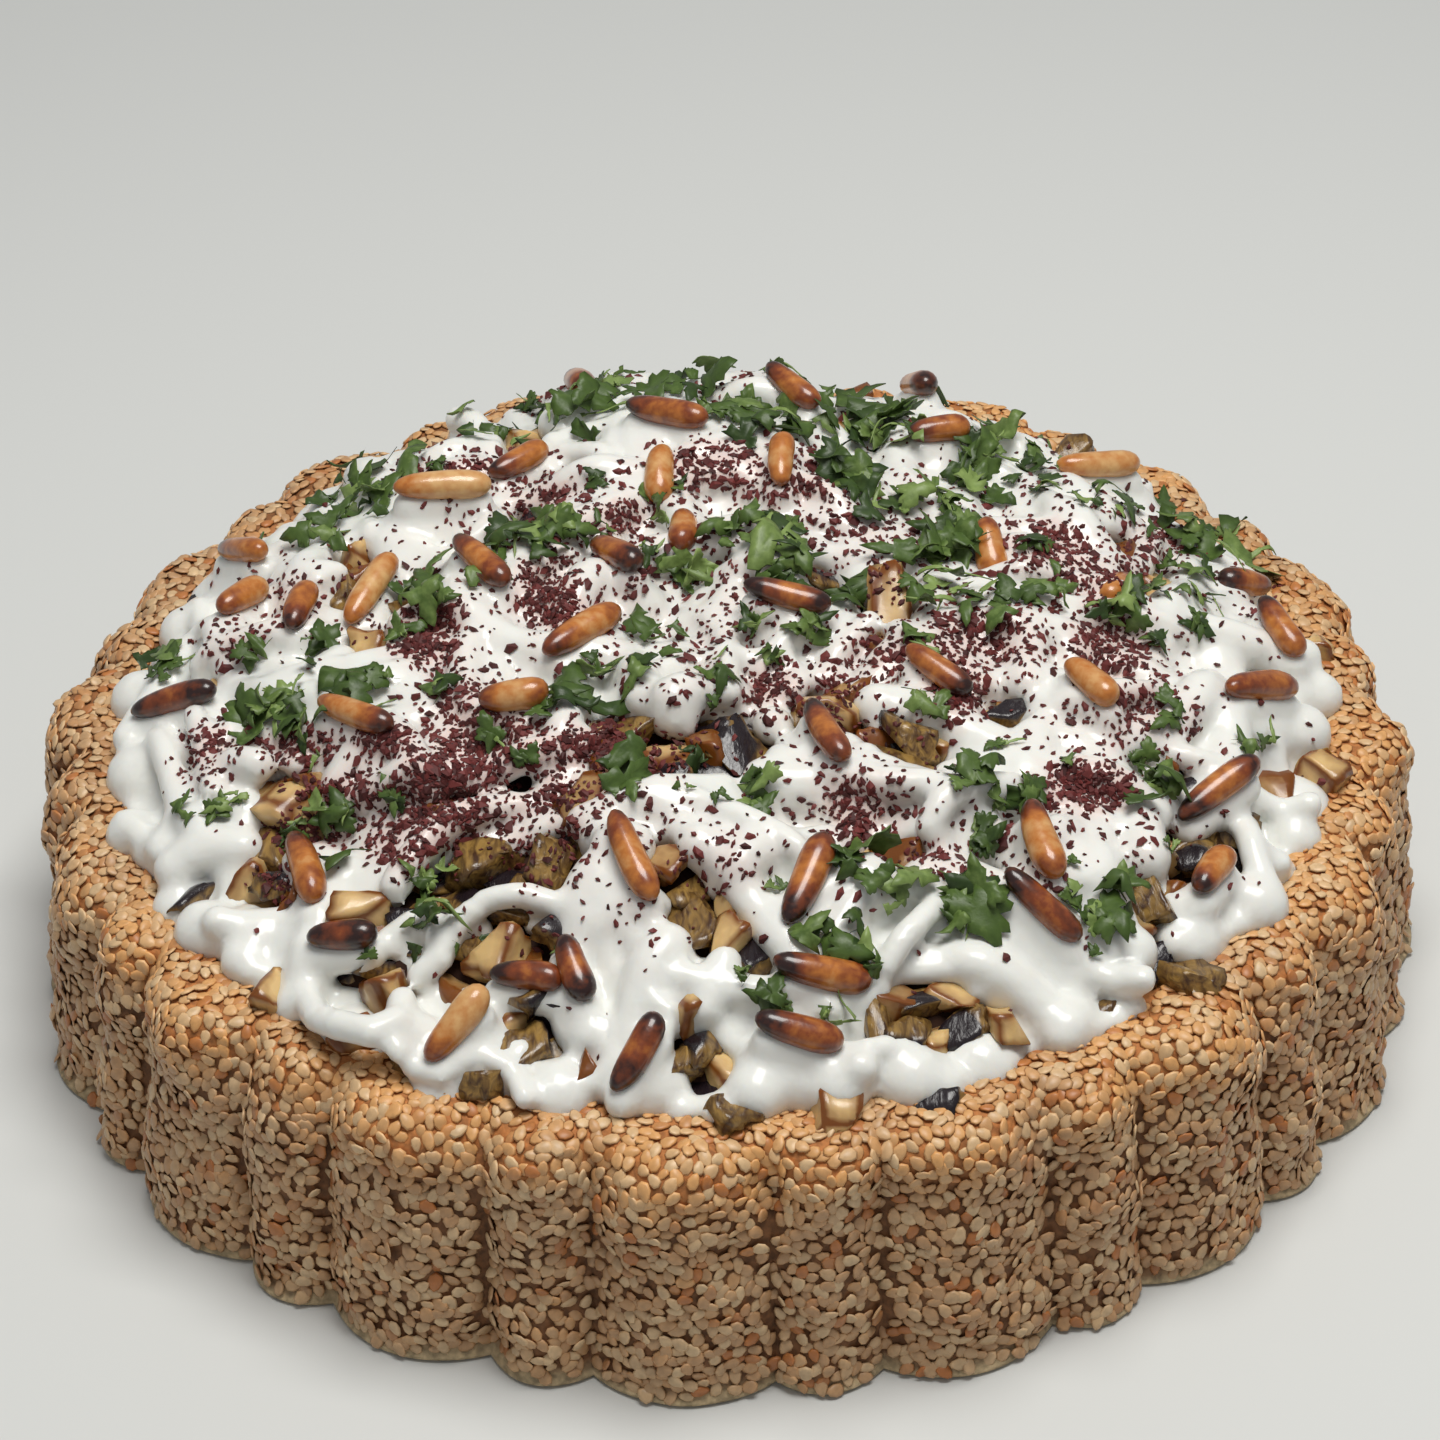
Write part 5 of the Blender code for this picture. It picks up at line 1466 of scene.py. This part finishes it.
def pour_yogurt(look):
    """The sauce: a thick sheet with openings, ribbons and an edge of beads, all run together."""
    plan = opening_plan()
    steps = np.arange(-SAUCE_EDGE_RADIUS - SAUCE_EDGE_WAVE, SAUCE_EDGE_RADIUS + SAUCE_EDGE_WAVE,
                      SHEET_STEP)
    grid = np.stack(np.meshgrid(steps, steps), axis=2).reshape(-1, 2)
    grid[:, 0] += (np.round((grid[:, 1] - steps[0]) / SHEET_STEP) % 2) * SHEET_STEP / 2.0
    reach = sauce_reach(grid, plan)
    grid = grid[(reach > SHEET_RADIUS * SHEET_CLEAR) & ~torn(look, grid, reach)]
    same = np.ones(len(grid))
    sheet = np.column_stack((grid, same * SHEET_RADIUS, same * -SHEET_DROP))
    beads = bead_rows()
    beads = beads[sauce_reach(beads[:, :2], plan) > BEAD_CLEAR * beads[:, 2]]
    rows = np.vstack((sheet, strand_rows(look, plan), beads))
    top = np.array([sauce_height(x, y) for x, y in rows[:, :2]]) + rows[:, 3]
    centres = np.column_stack((rows[:, :2], top - rows[:, 2]))
    radii = rows[:, 2]

    # The sauce rises or sinks gently to each nut
    pull, lift = np.zeros(len(centres)), np.zeros(len(centres))
    nuts = nut_rows()
    for middle, axis, length, _ in nuts:
        away = beside_nut(centres, middle, axis, length)[2]
        share = np.exp(-(away / BANK_REACH) ** 2)
        pull += share
        lift += share * (middle[2] - NUT_SINK - sauce_height(middle[0], middle[1]))
    centres[:, 2] += lift / np.maximum(pull, 1.0)
    # It dips under the nut, and a small mound carries it
    mounds = []
    for middle, axis, length, width in nuts:
        ends, nearest, away = beside_nut(centres, middle, axis, length)
        limit = nearest[:, 2] - DIP_DEPTH * width - radii
        near = away < DIP_REACH * radii + DIP_WIDTH * width
        centres[:, 2] = np.where(near, np.minimum(centres[:, 2], limit), centres[:, 2])
        poured = sauce_reach(middle[None, :2], plan)[0] > SKIRT_REACH
        for share in MOUND_PLACES:
            x, y, z = ends[0] + (ends[1] - ends[0]) * share
            mounds.append((x, y, z - MOUND_SINK * width - MOUND_RADIUS, MOUND_RADIUS))
            if poured:
                mounds.append((x, y, z - SKIRT_DROP - SKIRT_RADIUS, SKIRT_RADIUS))
    mounds = np.array(mounds)
    centres = np.vstack((centres, mounds[:, :3]))
    radii = np.concatenate((radii, mounds[:, 3]))

    ball, faces = ball_shape(2)
    points, triangles = copies(ball, faces, np.eye(3)[None] * radii[:, None, None], centres)
    cloud = mesh_piece("yogurt_cloud", points, triangles, None)
    merge = cloud.modifiers.new("merge", "REMESH")
    merge.mode = "VOXEL"
    merge.voxel_size = look.voxel
    soften = cloud.modifiers.new("soften", "SMOOTH")
    soften.factor = SAUCE_SOFTNESS
    soften.iterations = SAUCE_SOFTENING
    thin = cloud.modifiers.new("thin", "DECIMATE")
    thin.ratio = SAUCE_THINNING
    thin.use_collapse_triangulate = True
    view = bpy.context.evaluated_depsgraph_get()
    poured = bpy.data.meshes.new_from_object(cloud.evaluated_get(view))
    bpy.data.objects.remove(cloud, do_unlink=True)
    points = np.empty(len(poured.vertices) * 3, dtype=np.float32)
    poured.vertices.foreach_get("co", points)
    faces = np.empty(len(poured.loops), dtype=np.int32)
    poured.loops.foreach_get("vertex_index", faces)
    bpy.data.meshes.remove(poured)
    points, faces = without_islands(points.reshape(-1, 3), faces.reshape(-1, 3))
    sauce = mesh_piece("strained_yogurt_sauce", points, faces, strained_yogurt(look),
                       stain=np.zeros(len(points)))
    put_in_frame(sauce, "yogurt", "yogurt_sauce")


def nut_shape():
    """A pine nut of length 1 along X and width 1: points, faces and the place along its length."""
    sides = NUT_SIDES
    share = 0.5 - 0.5 * np.cos(np.linspace(0.0, math.pi, NUT_RINGS + 1)[1:-1])
    radius = 0.5 * (1.0 - np.abs(2.0 * share - 1.0) ** NUT_BLUNTNESS) ** 0.5
    radius *= 1.0 - NUT_TAPER * (2.0 * share - 1.0)
    turn = np.linspace(0.0, math.tau, sides, endpoint=False)
    x = np.repeat(share - 0.5, sides)
    y = np.outer(radius, np.cos(turn)).ravel()
    z = np.outer(radius, np.sin(turn)).ravel()
    points = np.vstack((np.stack((x, y, z), axis=1), (-0.5, 0.0, 0.0), (0.5, 0.0, 0.0)))
    faces = []
    last = (len(share) - 1) * sides
    for k in range(sides):
        after = (k + 1) % sides
        for ring in range(0, last, sides):
            faces += [(ring + k, ring + after, ring + sides + after),
                      (ring + k, ring + sides + after, ring + sides + k)]
        faces += [(len(points) - 2, after, k), (len(points) - 1, last + k, last + after)]
    return points, np.array(faces), points[:, 0] + 0.5


def place_nuts(look):
    """The pine nuts, each along its node, and the stubs of those sunk in the sauce."""
    shape, faces, along = nut_shape()
    draw = np.random.default_rng(NUT_DRAW)
    rows = [(middle, axis, length, NUT_TOAST[k] / 100.0)
            for k, (middle, axis, length, _) in enumerate(nut_rows())]
    sauce = surface_of("strained_yogurt_sauce")
    for ax, ay, bx, by, toast in NUT_STUBS:
        ends = []
        for px, py in ((ax, ay), (bx, by)):
            eye, line = sight(px, py)
            hit = sauce.ray_cast(eye, line)[0]
            ends.append(np.array(hit if hit else seen_at(px, py)))
        axis = ends[1] - ends[0]
        axis[2] = min(max(axis[2], -STUB_SLOPE), STUB_SLOPE)
        axis /= np.linalg.norm(axis)
        middle = (ends[0] + ends[1]) / 2.0 + (0.0, 0.0, STUB_RISE)
        rows.append((middle, axis, STUB_LENGTH, toast / 100.0))
    points, toasts = [], []
    for number, (middle, axis, length, toast) in enumerate(rows):
        across = np.cross((0.0, 0.0, 1.0), axis)
        across /= np.linalg.norm(across)
        width = look.nut_width * draw.uniform(*NUT_WIDTHS)
        turned = np.stack((axis * length * NUT_STRETCH, across * width,
                           np.cross(axis, across) * width * NUT_FLATNESS), axis=1)
        own = shape.copy()
        own[:, 1] += NUT_BEND * draw.uniform(-1.0, 1.0) * (shape[:, 0] ** 2 - NUT_BEND_MIDDLE)
        lumps = noise_of(shape * NUT_LUMP_FORM + number * NUT_LUMP_SHIFT, 1.0) * NUT_LUMP
        own[:, 1:] *= (1.0 + lumps)[:, None]
        points.append(own @ turned.T + middle)
        # The pointed end browns first, and on some nuts the blunt end too
        tips = smooth_step(*TIP_START, along) * draw.uniform(*TIP_TOASTS)
        butt = smooth_step(*BUTT_START, 1.0 - along) * draw.uniform(*BUTT_TOASTS)
        toasts.append(NUT_TOAST_SHARE * toast + tips + butt)
    nuts = mesh_piece("toasted_pine_nuts", np.vstack(points),
                      repeated(faces, len(rows), len(shape)), oiled_pine_nut(look),
                      toast=np.clip(np.concatenate(toasts), 0.0, 1.0))
    put_in_frame(nuts, "pine_nut", *NUT_NODES)


def back_place(draw, angles, radii):
    """A place above the back of the tart, in a range of angles in degrees and of radii."""
    turn = math.radians(draw.uniform(*angles))
    away = draw.uniform(*radii) * MM
    return Vector((away * math.cos(turn), away * math.sin(turn), CAST_HEIGHT))


def leaf_radius(angle):
    """A parsley leaflet's outline: three toothed lobes and a narrow foot, for a length of 1."""
    front = 1.0 - LEAF_FRONT + LEAF_FRONT * math.cos(angle)
    lobes = LEAF_MIDDLE + LEAF_LOBE * math.cos(3.0 * angle) * front
    return max(lobes + LEAF_TOOTH * math.cos(9.0 * angle), LEAF_FOOT)


def leaf_shape():
    """A flat leaflet of length 1: plan points, the triangles of one face and its outline."""
    half = LEAF_SIDES // 2
    points = [(0.0, 0.0)]
    for count, share in ((half, LEAF_INNER_RING), (LEAF_SIDES, 1.0)):
        for k in range(count):
            angle = math.tau * k / count
            points.append((leaf_radius(angle) * math.cos(angle) * share,
                           leaf_radius(angle) * math.sin(angle) * share))
    faces = []
    for k in range(half):
        inner, inner_next = 1 + k, 1 + (k + 1) % half
        outer, beside = 1 + half + 2 * k, 2 + half + 2 * k
        outer_next = 1 + half + (2 * k + 2) % LEAF_SIDES
        faces += [(0, inner, inner_next), (inner, outer, beside), (inner, beside, inner_next),
                  (inner_next, beside, outer_next)]
    return np.array(points), np.array(faces), np.arange(1 + half, 1 + half + LEAF_SIDES)


def draped(tree, flat, middle, facing, turn, lift, curl, span, phase):
    """A flat outline laid on a surface: its points, which follow the surface in part and curl."""
    turned = resting_frames(facing[None], np.array([turn]), np.ones((1, 3)))[0]
    spread = flat @ turned[:, :2].T + middle
    up = turned[:, 2]
    ground = []
    for spot in spread:
        hit = tree.ray_cast(Vector(spot + up * DRAPE_REACH), Vector(-up), 2.0 * DRAPE_REACH)[0]
        ground.append((np.array(hit) - middle) @ up if hit else DRAPE_MISS)
    ground = np.clip(np.array(ground), -DRAPE_LIMIT, DRAPE_LIMIT)
    wave = np.sin(flat[:, 0] / span + phase) + np.sin(flat[:, 1] / span * CURL_ACROSS + 2.0 * phase)
    height = DRAPE_SHARE * ground + curl * wave
    short = (ground - height).max()
    height += max(short * DRAPE_CLEAR, 0.0) + lift
    return spread + height[:, None] * up, up


def leaf_places(tree):
    """Where leaves lie: a surface point, its facing, a size and a place in its clump."""
    draw = random.Random(LEAF_DRAW)
    rows = []
    for px, py, size in PARSLEY:
        share = THICK_PARSLEY_SHARE if py < THICK_PARSLEY_ROW else THIN_PARSLEY_SHARE
        count = 1 + round(size / share)
        for number in range(count):
            spread = 0.0 if count == 1 else CLUMP_SPREAD * size
            eye, line = sight(px + draw.gauss(0.0, spread * CLUMP_FORM[0]),
                              py + draw.gauss(0.0, spread * CLUMP_FORM[1]))
            hit, facing = tree.ray_cast(eye, line)[:2]
            if hit and hit.xy.length < SAUCE_EDGE_RADIUS + LEAF_OVERHANG:
                wide = min(size * LEAF_MOST_SHARE, draw.uniform(*LEAF_PIXELS))
                wide = max(wide, LEAF_LEAST_PIXELS) * pixel_size(hit)
                rows.append((hit, facing, wide * draw.uniform(*LEAF_STRETCH), number))
    for name in LEAF_NODES:
        low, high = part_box(name)
        middle = (low + high) / 2.0 - MIDDLE
        hit, facing = tree.ray_cast(Vector((middle.x, middle.y, CAST_HEIGHT)), DOWN)[:2]
        if hit:
            rows.append((hit, facing, (high - low).xy.length * NODE_LEAF_SHARE, 0))
    # Round the back, leaves lie as densely as in front
    for number in range(BACK_LEAVES):
        start = back_place(draw, BACK_LEAF_ANGLES, BACK_LEAF_RADII)
        hit, facing = tree.ray_cast(start, DOWN)[:2]
        if hit:
            rows.append((hit, facing, draw.uniform(*BACK_LEAF_SIZES) * MM, number % CLUMP_LAYERS))
    return rows


def chop_parsley(look):
    """The parsley: thin toothed leaves in small heaps, draped over what they lie on."""
    tree = surface_of("strained_yogurt_sauce", "roast_potato_cubes", "roast_aubergine_cubes",
                      "falafel_body")
    draw = random.Random(LEAF_DRAW + 1)
    shape, faces, outline = leaf_shape()
    count, rim = len(shape), np.roll(outline, -1)
    points, triangles, tones = [], [], []
    first = 0
    for hit, facing, size, number in leaf_places(tree):
        # Most pieces are cut across, so the foot or one lobe is missing
        flat = shape * size
        cut = draw.uniform(*LEAF_CUTS) * size
        if draw.random() < LEAF_CUT_SHARE:
            flat[:, 0] = np.maximum(flat[:, 0], cut)
        stem = draw.random() < STEM_SHARE
        flat[:, 1] *= STEM_WIDTH / size if stem else draw.uniform(*LEAF_BREADTHS)
        lean = Vector((draw.gauss(0.0, LEAF_LEAN), draw.gauss(0.0, LEAF_LEAN), 0.0))
        lean *= min(number, CLUMP_LAYERS - 1)
        toward = np.array((facing + lean - LEAF_UPRIGHTNESS * DOWN).normalized())
        lift = LEAF_LIFT + LAYER_LIFT * number
        curl, span = draw.uniform(*LEAF_CURLS) * size, draw.uniform(*LEAF_CURL_SPANS) * size
        top, up = draped(tree, flat, np.array(hit), toward, draw.uniform(0.0, math.tau),
                         lift, curl, span, draw.uniform(0.0, math.tau))
        points.append(np.vstack((top + up * look.leaf_thickness, top)))
        sides = np.vstack((np.column_stack((outline, outline + count, rim + count)),
                           np.column_stack((outline, rim + count, rim))))
        triangles.append(np.vstack((faces, faces[:, ::-1] + count, sides)) + first)
        first += 2 * count
        tone = STEM_TONE
        if not stem:
            tone = min(max(draw.gauss(LEAF_TONE, LEAF_TONE_SPREAD), 0.0), 1.0)
        tones.append(np.full(2 * count, tone))
    leaves = mesh_piece("chopped_parsley", np.vstack(points), np.vstack(triangles),
                        fresh_parsley(look), tone=np.concatenate(tones))
    put_in_frame(leaves, "parsley", *LEAF_NODES)


def flake_places(tree):
    """Where sumac lies: surface points and their facing, from the drifts and round the back."""
    draw = random.Random(SUMAC_DRAW)
    spots, facings = [], []
    for px, py, wide, high, count in SUMAC:
        for _ in range(round(count * DRIFT_DENSITY)):
            eye, line = sight(px + draw.gauss(0.0, DRIFT_SPREAD * wide),
                              py + draw.gauss(0.0, DRIFT_SPREAD * high))
            hit, facing = tree.ray_cast(eye, line)[:2]
            if hit and hit.xy.length < SAUCE_EDGE_RADIUS + FLAKE_OVERHANG:
                spots.append(hit[:])
                facings.append(facing[:])
    for _ in range(BACK_DRIFTS):
        middle = back_place(draw, BACK_DRIFT_ANGLES, BACK_DRIFT_RADII)
        for _ in range(draw.randint(*BACK_DRIFT_FLAKES)):
            aside = Vector((*(draw.gauss(0.0, spread) for spread in BACK_DRIFT_SPREAD), 0.0))
            hit, facing = tree.ray_cast(middle + aside * MM, DOWN)[:2]
            if hit:
                spots.append(hit[:])
                facings.append(facing[:])
    return np.array(spots), np.array(facings)


def sprinkle_sumac(look):
    """The sumac: angular flakes in drifts, which tint the yogurt where they lie thick."""
    tree = surface_of("strained_yogurt_sauce", "roast_potato_cubes", "roast_aubergine_cubes",
                      "falafel_body")
    spots, facings = flake_places(tree)
    draw = np.random.default_rng(SUMAC_DRAW)
    count = len(spots)
    turn = np.radians(FLAKE_TURNS)
    reach = np.array(FLAKE_REACHES)
    rim = np.stack((reach * np.cos(turn), reach * np.sin(turn), np.zeros(len(turn))), axis=1)
    shape = np.vstack((rim, FLAKE_TOP, FLAKE_UNDER))
    corners = len(rim)
    faces = np.array([row for k in range(corners) for row in (
        (k, (k + 1) % corners, corners), ((k + 1) % corners, k, corners + 1))])
    width = look.flake * np.clip(draw.lognormal(*FLAKE_SIZES, count), *FLAKE_SIZE_LIMITS)
    sizes = np.stack((width, width * draw.uniform(*FLAKE_BREADTHS, count),
                      width * draw.uniform(*FLAKE_DEPTHS, count)), axis=1)
    tilted = facings + draw.normal(0.0, FLAKE_TILT, (count, 3))
    frames = resting_frames(tilted, draw.random(count) * math.tau, sizes)
    points, triangles = copies(shape, faces, frames, spots + facings * FLAKE_LIFT)
    flakes = mesh_piece("ground_sumac", points, triangles, ground_sumac(look),
                        tone=np.repeat(draw.random(count), len(shape)))
    flakes.data.shade_flat()
    put_in_frame(flakes, "parsley")

    # The yogurt takes a tint from the flakes in its own cell and in those round it
    sauce = bpy.data.objects["strained_yogurt_sauce"]
    points = mesh_arrays(sauce)[0]
    cells = {}
    for key in map(tuple, (spots // STAIN_SPAN).astype(int).tolist()):
        cells[key] = cells.get(key, 0) + 1
    keys = (points // STAIN_SPAN).astype(int).tolist()
    stain = np.zeros(len(points))
    for a, b, c in CELLS_ROUND:
        weight = STAIN_BESIDE if any((a, b, c)) else 1.0
        stain += [weight * cells.get((i + a, j + b, k + c), 0) for i, j, k in keys]
    sauce.data.attributes["stain"].data.foreach_set(
        "value", np.clip(stain / STAIN_FULL, 0.0, STAIN_MOST).astype(np.float32))


def matte_floor(look):
    """Plain pale studio floor."""
    finish, tree = new_finish("matte floor")
    place = add_node(tree, "ShaderNodeTexCoord").outputs["Object"]
    grain = add_node(tree, "ShaderNodeTexNoise", {"Scale": 1.0 / (3.0 * MM)}, {"Vector": place})
    bump = add_node(tree, "ShaderNodeBump", {"Strength": 0.05, "Distance": 0.1 * MM},
                    {"Height": grain.outputs["Fac"]}).outputs["Normal"]
    shader = add_node(tree, "ShaderNodeBsdfPrincipled",
                      {"Base Color": look.floor_colour, "Roughness": 0.75}, {"Normal": bump})
    add_node(tree, "ShaderNodeOutputMaterial", links={"Surface": shader.outputs["BSDF"]})
    return finish


def add_lamp(name, power, size, place, colour):
    """A square area light that faces the middle of the tart."""
    lamp = bpy.data.lights.new(name, "AREA")
    lamp.energy = power
    lamp.size = size
    lamp.color = colour
    item = bpy.data.objects.new(name, lamp)
    item.location = place
    item.rotation_euler = (-item.location).to_track_quat("-Z", "Y").to_euler()
    bpy.context.scene.collection.objects.link(item)


def set_stage(look):
    """The floor, the lights, the room light and the camera at the photograph's angle."""
    floor = mesh_piece("studio_floor", FLOOR_CORNERS, [(0, 1, 2, 3)], matte_floor(look))
    floor.location.z = SHELL_BOX[0].z - FLOOR_DROP
    add_lamp("key_light", look.key_power, KEY_SIZE, KEY_PLACE, KEY_COLOUR)
    add_lamp("fill_light", look.fill_power, FILL_SIZE, FILL_PLACE, FILL_COLOUR)
    bpy.context.scene.view_settings.view_transform = "Standard"
    world = bpy.data.worlds.new("studio")
    world.use_nodes = True
    room = world.node_tree.nodes["Background"].inputs
    room["Color"].default_value = ROOM_COLOUR
    room["Strength"].default_value = look.sky
    bpy.context.scene.world = world

    eye, right, up, forward = view_axes()
    camera = bpy.data.cameras.new("camera")
    camera.sensor_width = SENSOR
    camera.lens = VIEW_FOCAL * SENSOR / VIEW_SIZE
    camera.clip_start = CLIP_START
    item = bpy.data.objects.new("camera", camera)
    turned = Matrix((right, up, -forward)).transposed().to_4x4()
    item.matrix_world = Matrix.Translation(eye + MIDDLE) @ turned
    bpy.context.scene.collection.objects.link(item)
    bpy.context.scene.camera = item


class TART_OT_bake_shell(Operator):
    """Model the fluted falafel shell"""
    bl_idname = "tart.bake_shell"
    bl_label = "Falafel shell"

    def execute(self, context):
        bake_shell(context.scene.tart_shell)
        return {"FINISHED"}


class TART_OT_sow_sesame(Operator):
    """Coat the shell with sesame seeds"""
    bl_idname = "tart.sow_sesame"
    bl_label = "Sesame coat"

    def execute(self, context):
        sow_sesame(context.scene.tart_shell)
        return {"FINISHED"}


class TART_OT_heap_vegetables(Operator):
    """Heap the roast potato and aubergine in the shell"""
    bl_idname = "tart.heap_vegetables"
    bl_label = "Roast vegetables"

    def execute(self, context):
        heap_core(context.scene.tart_filling)
        lay_cubes(context.scene.tart_filling)
        return {"FINISHED"}


class TART_OT_pour_yogurt(Operator):
    """Spoon the yogurt sauce over the heap"""
    bl_idname = "tart.pour_yogurt"
    bl_label = "Yogurt sauce"

    def execute(self, context):
        pour_yogurt(context.scene.tart_sauce)
        return {"FINISHED"}


class TART_OT_place_nuts(Operator):
    """Lay the toasted pine nuts on the sauce"""
    bl_idname = "tart.place_nuts"
    bl_label = "Pine nuts"

    def execute(self, context):
        place_nuts(context.scene.tart_toppings)
        return {"FINISHED"}


class TART_OT_chop_parsley(Operator):
    """Scatter chopped parsley over the sauce"""
    bl_idname = "tart.chop_parsley"
    bl_label = "Parsley"

    def execute(self, context):
        chop_parsley(context.scene.tart_toppings)
        return {"FINISHED"}


class TART_OT_sprinkle_sumac(Operator):
    """Sprinkle ground sumac over everything"""
    bl_idname = "tart.sprinkle_sumac"
    bl_label = "Sumac"

    def execute(self, context):
        sprinkle_sumac(context.scene.tart_toppings)
        return {"FINISHED"}


class TART_OT_set_stage(Operator):
    """Set the floor, the lights and the camera"""
    bl_idname = "tart.set_stage"
    bl_label = "Stage"

    def execute(self, context):
        set_stage(context.scene.tart_stage)
        return {"FINISHED"}


OPERATORS = (TART_OT_bake_shell, TART_OT_sow_sesame, TART_OT_heap_vegetables, TART_OT_pour_yogurt,
             TART_OT_place_nuts, TART_OT_chop_parsley, TART_OT_sprinkle_sumac, TART_OT_set_stage)


class TART_PT_builder(Panel):
    """Lists the settings of the tart and the steps that make it"""
    bl_idname = "TART_PT_builder"
    bl_label = "Falafel Tart"
    bl_space_type = "VIEW_3D"
    bl_region_type = "UI"
    bl_category = "Tart"

    def draw(self, context):
        for name in SETTINGS:
            box = self.layout.box()
            box.label(text=name.replace("tart_", "").title())
            look = getattr(context.scene, name)
            for key in look.__annotations__:
                box.prop(look, key)
        for operator in OPERATORS:
            self.layout.operator(operator.bl_idname)


SETTINGS = {
    "tart_shell": TartShellSettings,
    "tart_filling": TartFillingSettings,
    "tart_sauce": TartSauceSettings,
    "tart_toppings": TartToppingSettings,
    "tart_stage": TartStageSettings,
}


def register():
    for group in SETTINGS.values():
        bpy.utils.register_class(group)
    for name, group in SETTINGS.items():
        setattr(bpy.types.Scene, name, PointerProperty(type=group))
    for item in (*OPERATORS, TART_PT_builder):
        bpy.utils.register_class(item)


def unregister():
    for item in (TART_PT_builder, *reversed(OPERATORS)):
        bpy.utils.unregister_class(item)
    for name in SETTINGS:
        delattr(bpy.types.Scene, name)
    for group in SETTINGS.values():
        bpy.utils.unregister_class(group)


def main():
    """Make every piece in order."""
    register()
    bpy.ops.tart.bake_shell()
    bpy.ops.tart.sow_sesame()
    bpy.ops.tart.heap_vegetables()
    bpy.ops.tart.pour_yogurt()
    bpy.ops.tart.place_nuts()
    bpy.ops.tart.chop_parsley()
    bpy.ops.tart.sprinkle_sumac()
    bpy.ops.tart.set_stage()


if __name__ == "__main__":
    main()
